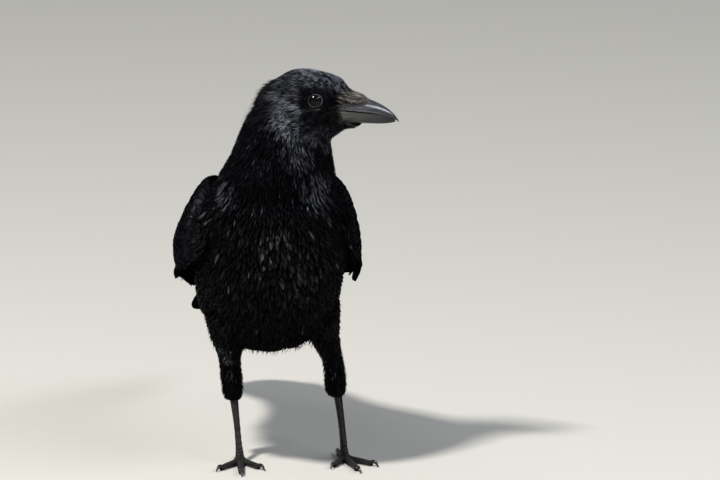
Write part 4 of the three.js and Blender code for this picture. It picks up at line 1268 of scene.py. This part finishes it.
# Rows across the lid: distance from the eye's axis, and height over the ball's middle.
LID_ROWS = np.array(((4.85, 5.9), (5.05, 6.5), (5.3, 6.75), (5.55, 6.5), (6.2, 6.2), (10, 6.2)))
LID_END, LID_CLOSER = 10.0, 1.4  # the lid's rows lie closer towards the opening
LID_BLEND = (5.6, 6.8)  # the lid passes into the skin between these distances
LID_SUNK, FOLD_PROUD = 0.4, 0.5  # there it lies under the skin, in mm, but over it at the fold
OPENING_LOW = 0.88  # the opening's height as a share of its width
RIM_AT, RIM_WIDE = 5.26, 0.13
FOLD_AT, FOLD_WIDE, FOLD_HIGH, FOLD_ENDS = 7.5, 0.28, 0.3, 8.4
FOLD_SPAN, FOLD_PALE = (0.35, 0.7), 0.8
for side_name, side in (("left", 1), ("right", -1)):
    level = math.cos(EYE_RISE)
    looks = head_turn @ Vector((
        math.sin(EYE_LOOK) * level, side * math.cos(EYE_LOOK) * level, math.sin(EYE_RISE),
    ))
    forward = (head_turn @ Vector((0, 0, 1))).cross(looks).normalized()
    lid_frame = Matrix((forward, looks.cross(forward), looks)).transposed()
    centre = head_place + head_turn @ Vector((EYE_PLACE[0], side * EYE_PLACE[1], EYE_PLACE[2])) * MM
    bm = bmesh.new()
    bmesh.ops.create_uvsphere(bm, u_segments=48, v_segments=40, radius=EYE_RADIUS)
    for v in bm.verts:
        turn = v.co.angle(Vector((0, 0, 1)))
        wide = CORNEA_RADIUS ** 2 - (CORNEA_AHEAD * math.sin(turn)) ** 2
        cornea = CORNEA_AHEAD * math.cos(turn) + math.sqrt(wide)
        either = math.exp(CORNEA_EASE * cornea) + math.exp(CORNEA_EASE * EYE_RADIUS)
        reach = math.log(either) / CORNEA_EASE
        v.co = centre + lid_frame @ v.co * (reach / EYE_RADIUS) * MM
    mesh = mesh_from(bm, "eye_" + side_name)
    out = unit(np.array([v.co for v in mesh.vertices]) - np.array(centre))
    turn = np.arccos(np.clip(out @ np.array(looks), -1, 1))
    mesh.attributes.new("from_pupil", "FLOAT", "POINT").data.foreach_set("value", np.clip(turn, 0, 1))
    made = piece("eye_ball_" + side_name, mesh, eye_finish)
    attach(made, "root")
    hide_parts("eye_" + side_name)

    bm = bmesh.new()
    paleness = bm.verts.layers.float.new("pale_edge")
    back = -1 if (lid_frame.col[0] @ (head_turn @ Vector((1, 0, 0)))) > 0 else 1
    grid = bmesh.ops.create_grid(bm, x_segments=36, y_segments=72, size=0.5)["verts"]
    for v in grid:
        t, a = v.co.x + 0.5, (v.co.y + 0.5) * 2 * math.pi
        distance = LID_ROWS[0, 0] + (LID_END - LID_ROWS[0, 0]) * t ** LID_CLOSER
        high = np.interp(distance, LID_ROWS[:, 0], LID_ROWS[:, 1])
        low = OPENING_LOW + (1 - OPENING_LOW) * t
        behind = -math.cos(a) * back * FOLD_WAY[0] + math.sin(a) * FOLD_WAY[1]
        folded = float(soft(*FOLD_SPAN, behind))
        fold = math.exp(-((distance - FOLD_AT) / FOLD_WIDE) ** 2) * folded
        rim = math.exp(-((distance - RIM_AT) / RIM_WIDE) ** 2)
        v[paleness] = min(1, rim + FOLD_PALE * fold)
        local = Vector((math.cos(a) * distance, math.sin(a) * distance * low, high))
        place = centre + lid_frame @ local * MM
        near, normal, _, _ = skin_tree.find_nearest(place)
        share = float(soft(*LID_BLEND, distance))
        bare = folded * (1 - float(soft(FOLD_ENDS, LID_END, distance)))
        proud = FOLD_PROUD * bare - LID_SUNK * (1 - bare)
        v.co = place.lerp(near + normal * proud * MM, share) + looks * FOLD_HIGH * fold * MM
    bmesh.ops.remove_doubles(bm, verts=grid, dist=WELD)
    bmesh.ops.recalc_face_normals(bm, faces=bm.faces)
    if sum(f.normal.dot(looks) for f in bm.faces) < 0:
        bmesh.ops.reverse_faces(bm, faces=bm.faces)
    made = piece("lids_" + side_name, mesh_from(bm, "lids_" + side_name), lid_finish)
    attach(made, "root")

# ---- Shanks and toes -------------------------------------------------------------------------
# Bare black legs: a row of broad overlapping scutes down the front, small scales behind, and
# scutes over each toe with soft pads below; claws of curved black horn.
SHANKS = {  # place, x, y, z, and the half-widths across and front to back, in mm
    "right": np.array((
        (0, -26, 32, 60, 3.6, 4.4), (1, -25.4, 31, 47, 2.9, 3.6), (2, -24, 25, 31, 2.35, 2.9),
        (3, -23.2, 20, 17, 2.3, 2.8), (4, -22.7, 17.3, 8.5, 2.9, 3.0), (5, -22.5, 16, 3.8, 3.6, 3.2),
    )),
    "left": np.array((
        (0, 53, 32, 60, 3.6, 4.4), (1, 54.4, 31, 47, 2.9, 3.6), (2, 56, 25, 31, 2.35, 2.9),
        (3, 57, 20, 17, 2.3, 2.8), (4, 57.6, 17.3, 8.5, 2.9, 3.0), (5, 57.8, 16, 3.8, 3.6, 3.2),
    )),
}
FEET = {"right": (Vector((-22.4, 15, 0)), -5), "left": (Vector((57.9, 15, 0)), 8)}
TOES = {  # heading outwards in degrees, length, radius, claw length and number of joint pads
    "middle": (0, 38, 2.75, 12, 3), "inner": (-34, 25, 2.7, 11, 2),
    "outer": (33, 28, 2.6, 10, 3), "hind": (180, 17, 2.8, 13, 1),
}
SCUTES, SCUTE_HIGH, SCUTE_EDGE = 12, 0.75, 2.5  # the edge: how fast they rise from the side
SCALE_HIGH, SCALES_ROUND, SCALES_DOWN = 0.14, 40, 150  # of the small scales behind
SHANK_LOW = 0.6  # the shank ends this far over the floor, in mm
TOE_SCUTE_HIGH, TOE_SCUTE_LONG, TOE_SCUTE_WIDE = 0.55, 2.9, 0.4
PAD_SWELL = 0.13
TOE_INSIDE, TOE_GIRTH, TOE_TAPER = 2, 1.1, 0.32
TOE_AXIS, TOE_OVER = 0.62, 0.35  # how high a toe's axis lies: a share of its radius, and in mm
BLUNT_FROM, BLUNT_LONG, BLUNT_LEAST, BLUNT_REST = 0.93, 0.07, 0.55, 0.45  # a toe's rounded end
BALL_RADIUS, BALL_SHAPE, BALL_PLACE = 4.6, (1.05, 1.15, 0.8), (0, 0.6, 2.6)
CLAW_BEND, CLAW_DROOP = 1.25, 0.8
CLAW_INSIDE, CLAW_REACH = 2.2, 0.9
CLAW_RISE, CLAW_ARCH, CLAW_ARCH_SHARE, CLAW_FALL = 0.82, 1.9, 1.15, 1.75
CLAW_GIRTH, CLAW_TAPER, CLAW_POINT, CLAW_WIDE = 2.0, 0.65, 0.03, 0.8
CLAW_OVER, CLAW_FLOOR = 0.12, 0.02


SCUTE_DROP = 0.98


def scute(share, count, sharp=5):
    """How far an overlapping plate stands out: it rises slowly and drops at its lower edge."""
    phase = (share * count) % 1
    return phase * (1 - phase ** sharp * SCUTE_DROP)


scale_finish, shader, tree = material(
    "leg_scales", (0.006, 0.006, 0.006), 0.42, Specular_IOR_Level=0.25
)
mottled(shader, tree, 250, (0.003, 0.003, 0.003), (0.014, 0.013, 0.0125), 0.05)
cells = node(tree, "TexVoronoi", {
    "Vector": node(tree, "TexCoord").outputs["Object"], "Scale": 900.0,
}, feature="DISTANCE_TO_EDGE")
ridge = node(tree, "MapRange", {"Value": cells.outputs["Distance"], "From Max": 0.12})
relief = node(tree, "Bump", {"Height": ridge.outputs["Result"], "Distance": 0.15 * MM})
tree.links.new(relief.outputs["Normal"], shader.inputs["Normal"])
claw_finish, shader, tree = material(
    "claw_horn", (0.006, 0.006, 0.0065), 0.25, Specular_IOR_Level=0.4
)
mottled(shader, tree, 700, (0.003, 0.003, 0.0035), (0.014, 0.0135, 0.013), 0.05)


def toe_point(side_name, side, toe, x, y, z):
    """A point in a toe's frame (along it, to its left, up) as a place in the scene."""
    foot, heading = FEET[side_name]
    turn = math.radians(-90 + TOES[toe][0] * side + heading)
    return ORIGIN + (foot + Matrix.Rotation(turn, 3, "Z") @ Vector((x, y, z))) * MM


for side_name, side in (("left", 1), ("right", -1)):
    rows = SHANKS[side_name]

    def shank_point(t, a):
        last, d = rows[-1, 0], 0.05
        x, y, z, wide, deep = through(rows, t * last)
        below, above = through(rows, min(t * last + d, last)), through(rows, max(t * last - d, 0))
        down = Vector(below[:3] - above[:3]).normalized()
        front = down.cross(Vector((1, 0, 0))).normalized()
        across = front.cross(down).normalized()
        angle = a * 2 * math.pi
        facing = math.sin(angle)
        grow = SCUTE_HIGH * scute(t, SCUTES) * min(1, max(0, facing) * SCUTE_EDGE)
        if facing < 0:
            grow += SCALE_HIGH * math.sin(a * SCALES_ROUND) * math.sin(t * SCALES_DOWN)
        place = Vector((x, y, z)) + across * (wide + grow) * math.cos(angle)
        place += front * (deep + grow) * facing
        return ORIGIN + Vector((place.x, place.y, max(place.z, SHANK_LOW))) * MM

    bm = bmesh.new()
    sleeve(bm, 168, 28, shank_point)
    made = piece("shank_skin_" + side_name, mesh_from(bm, "shank_" + side_name), scale_finish)
    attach(made, "root")
    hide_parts("shank_" + side_name)

    bm = bmesh.new()
    for toe, (_, length, radius, _, pads) in TOES.items():
        def place_on_toe(t, a):
            angle = a * 2 * math.pi
            pad = 1 + PAD_SWELL * math.cos(2 * math.pi * max(pads - 1, 1) * t)
            blunt = max(0, (t - BLUNT_FROM) / BLUNT_LONG)
            end = BLUNT_LEAST + BLUNT_REST * math.sqrt(max(0.0, 1 - blunt ** 2))
            r = radius * (TOE_GIRTH - TOE_TAPER * t) * (pad if math.sin(angle) < 0 else 1) * end
            plate = TOE_SCUTE_HIGH * scute(t, round(length / TOE_SCUTE_LONG))
            plate *= max(0, math.sin(angle)) ** 0.5
            x = -TOE_INSIDE + (length + TOE_INSIDE) * t
            y = (r + TOE_SCUTE_WIDE * plate) * math.cos(angle)
            z = radius * TOE_AXIS + TOE_OVER + (r + plate) * math.sin(angle)
            return toe_point(side_name, side, toe, x, y, max(z, 0))
        sleeve(bm, 90, 20, place_on_toe)
    ball = bmesh.ops.create_icosphere(bm, subdivisions=4, radius=BALL_RADIUS)["verts"]
    foot, _ = FEET[side_name]
    for v in ball:
        x, y, z = (v.co[k] * BALL_SHAPE[k] + BALL_PLACE[k] for k in range(3))
        v.co = ORIGIN + (foot + Vector((x, y, max(z, 0)))) * MM
    made = piece("toes_" + side_name, mesh_from(bm, "toes_" + side_name), scale_finish)
    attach(made, "root")
    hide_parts("foot_" + side_name)

    for toe, (_, length, radius, claw, _) in TOES.items():
        def place_on_claw(t, a):
            bend = t * CLAW_BEND
            x = length - CLAW_INSIDE + claw * CLAW_REACH * math.sin(bend) / math.sin(CLAW_BEND)
            arch = CLAW_ARCH * math.sin(math.pi * min(t * CLAW_ARCH_SHARE, 1))
            rise = radius * CLAW_RISE + arch - CLAW_FALL * t * t
            r = CLAW_GIRTH * (1 - t) ** CLAW_TAPER + CLAW_POINT
            along = Vector((math.cos(bend), 0, -math.sin(bend) * CLAW_DROOP)).normalized()
            up = Vector((-along.z, 0, along.x))
            angle = a * 2 * math.pi
            place = Vector((x, 0, max(rise, r + CLAW_OVER))) + up * r * math.sin(angle)
            y = r * CLAW_WIDE * math.cos(angle)
            return toe_point(side_name, side, toe, place.x, y, max(place.z, CLAW_FLOOR))
        bm = bmesh.new()
        sleeve(bm, 24, 16, place_on_claw)
        name = f"claw_{side_name}_{toe}"
        made = piece(name + "_horn", mesh_from(bm, name), claw_finish)
        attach(made, "root")
        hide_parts(name)
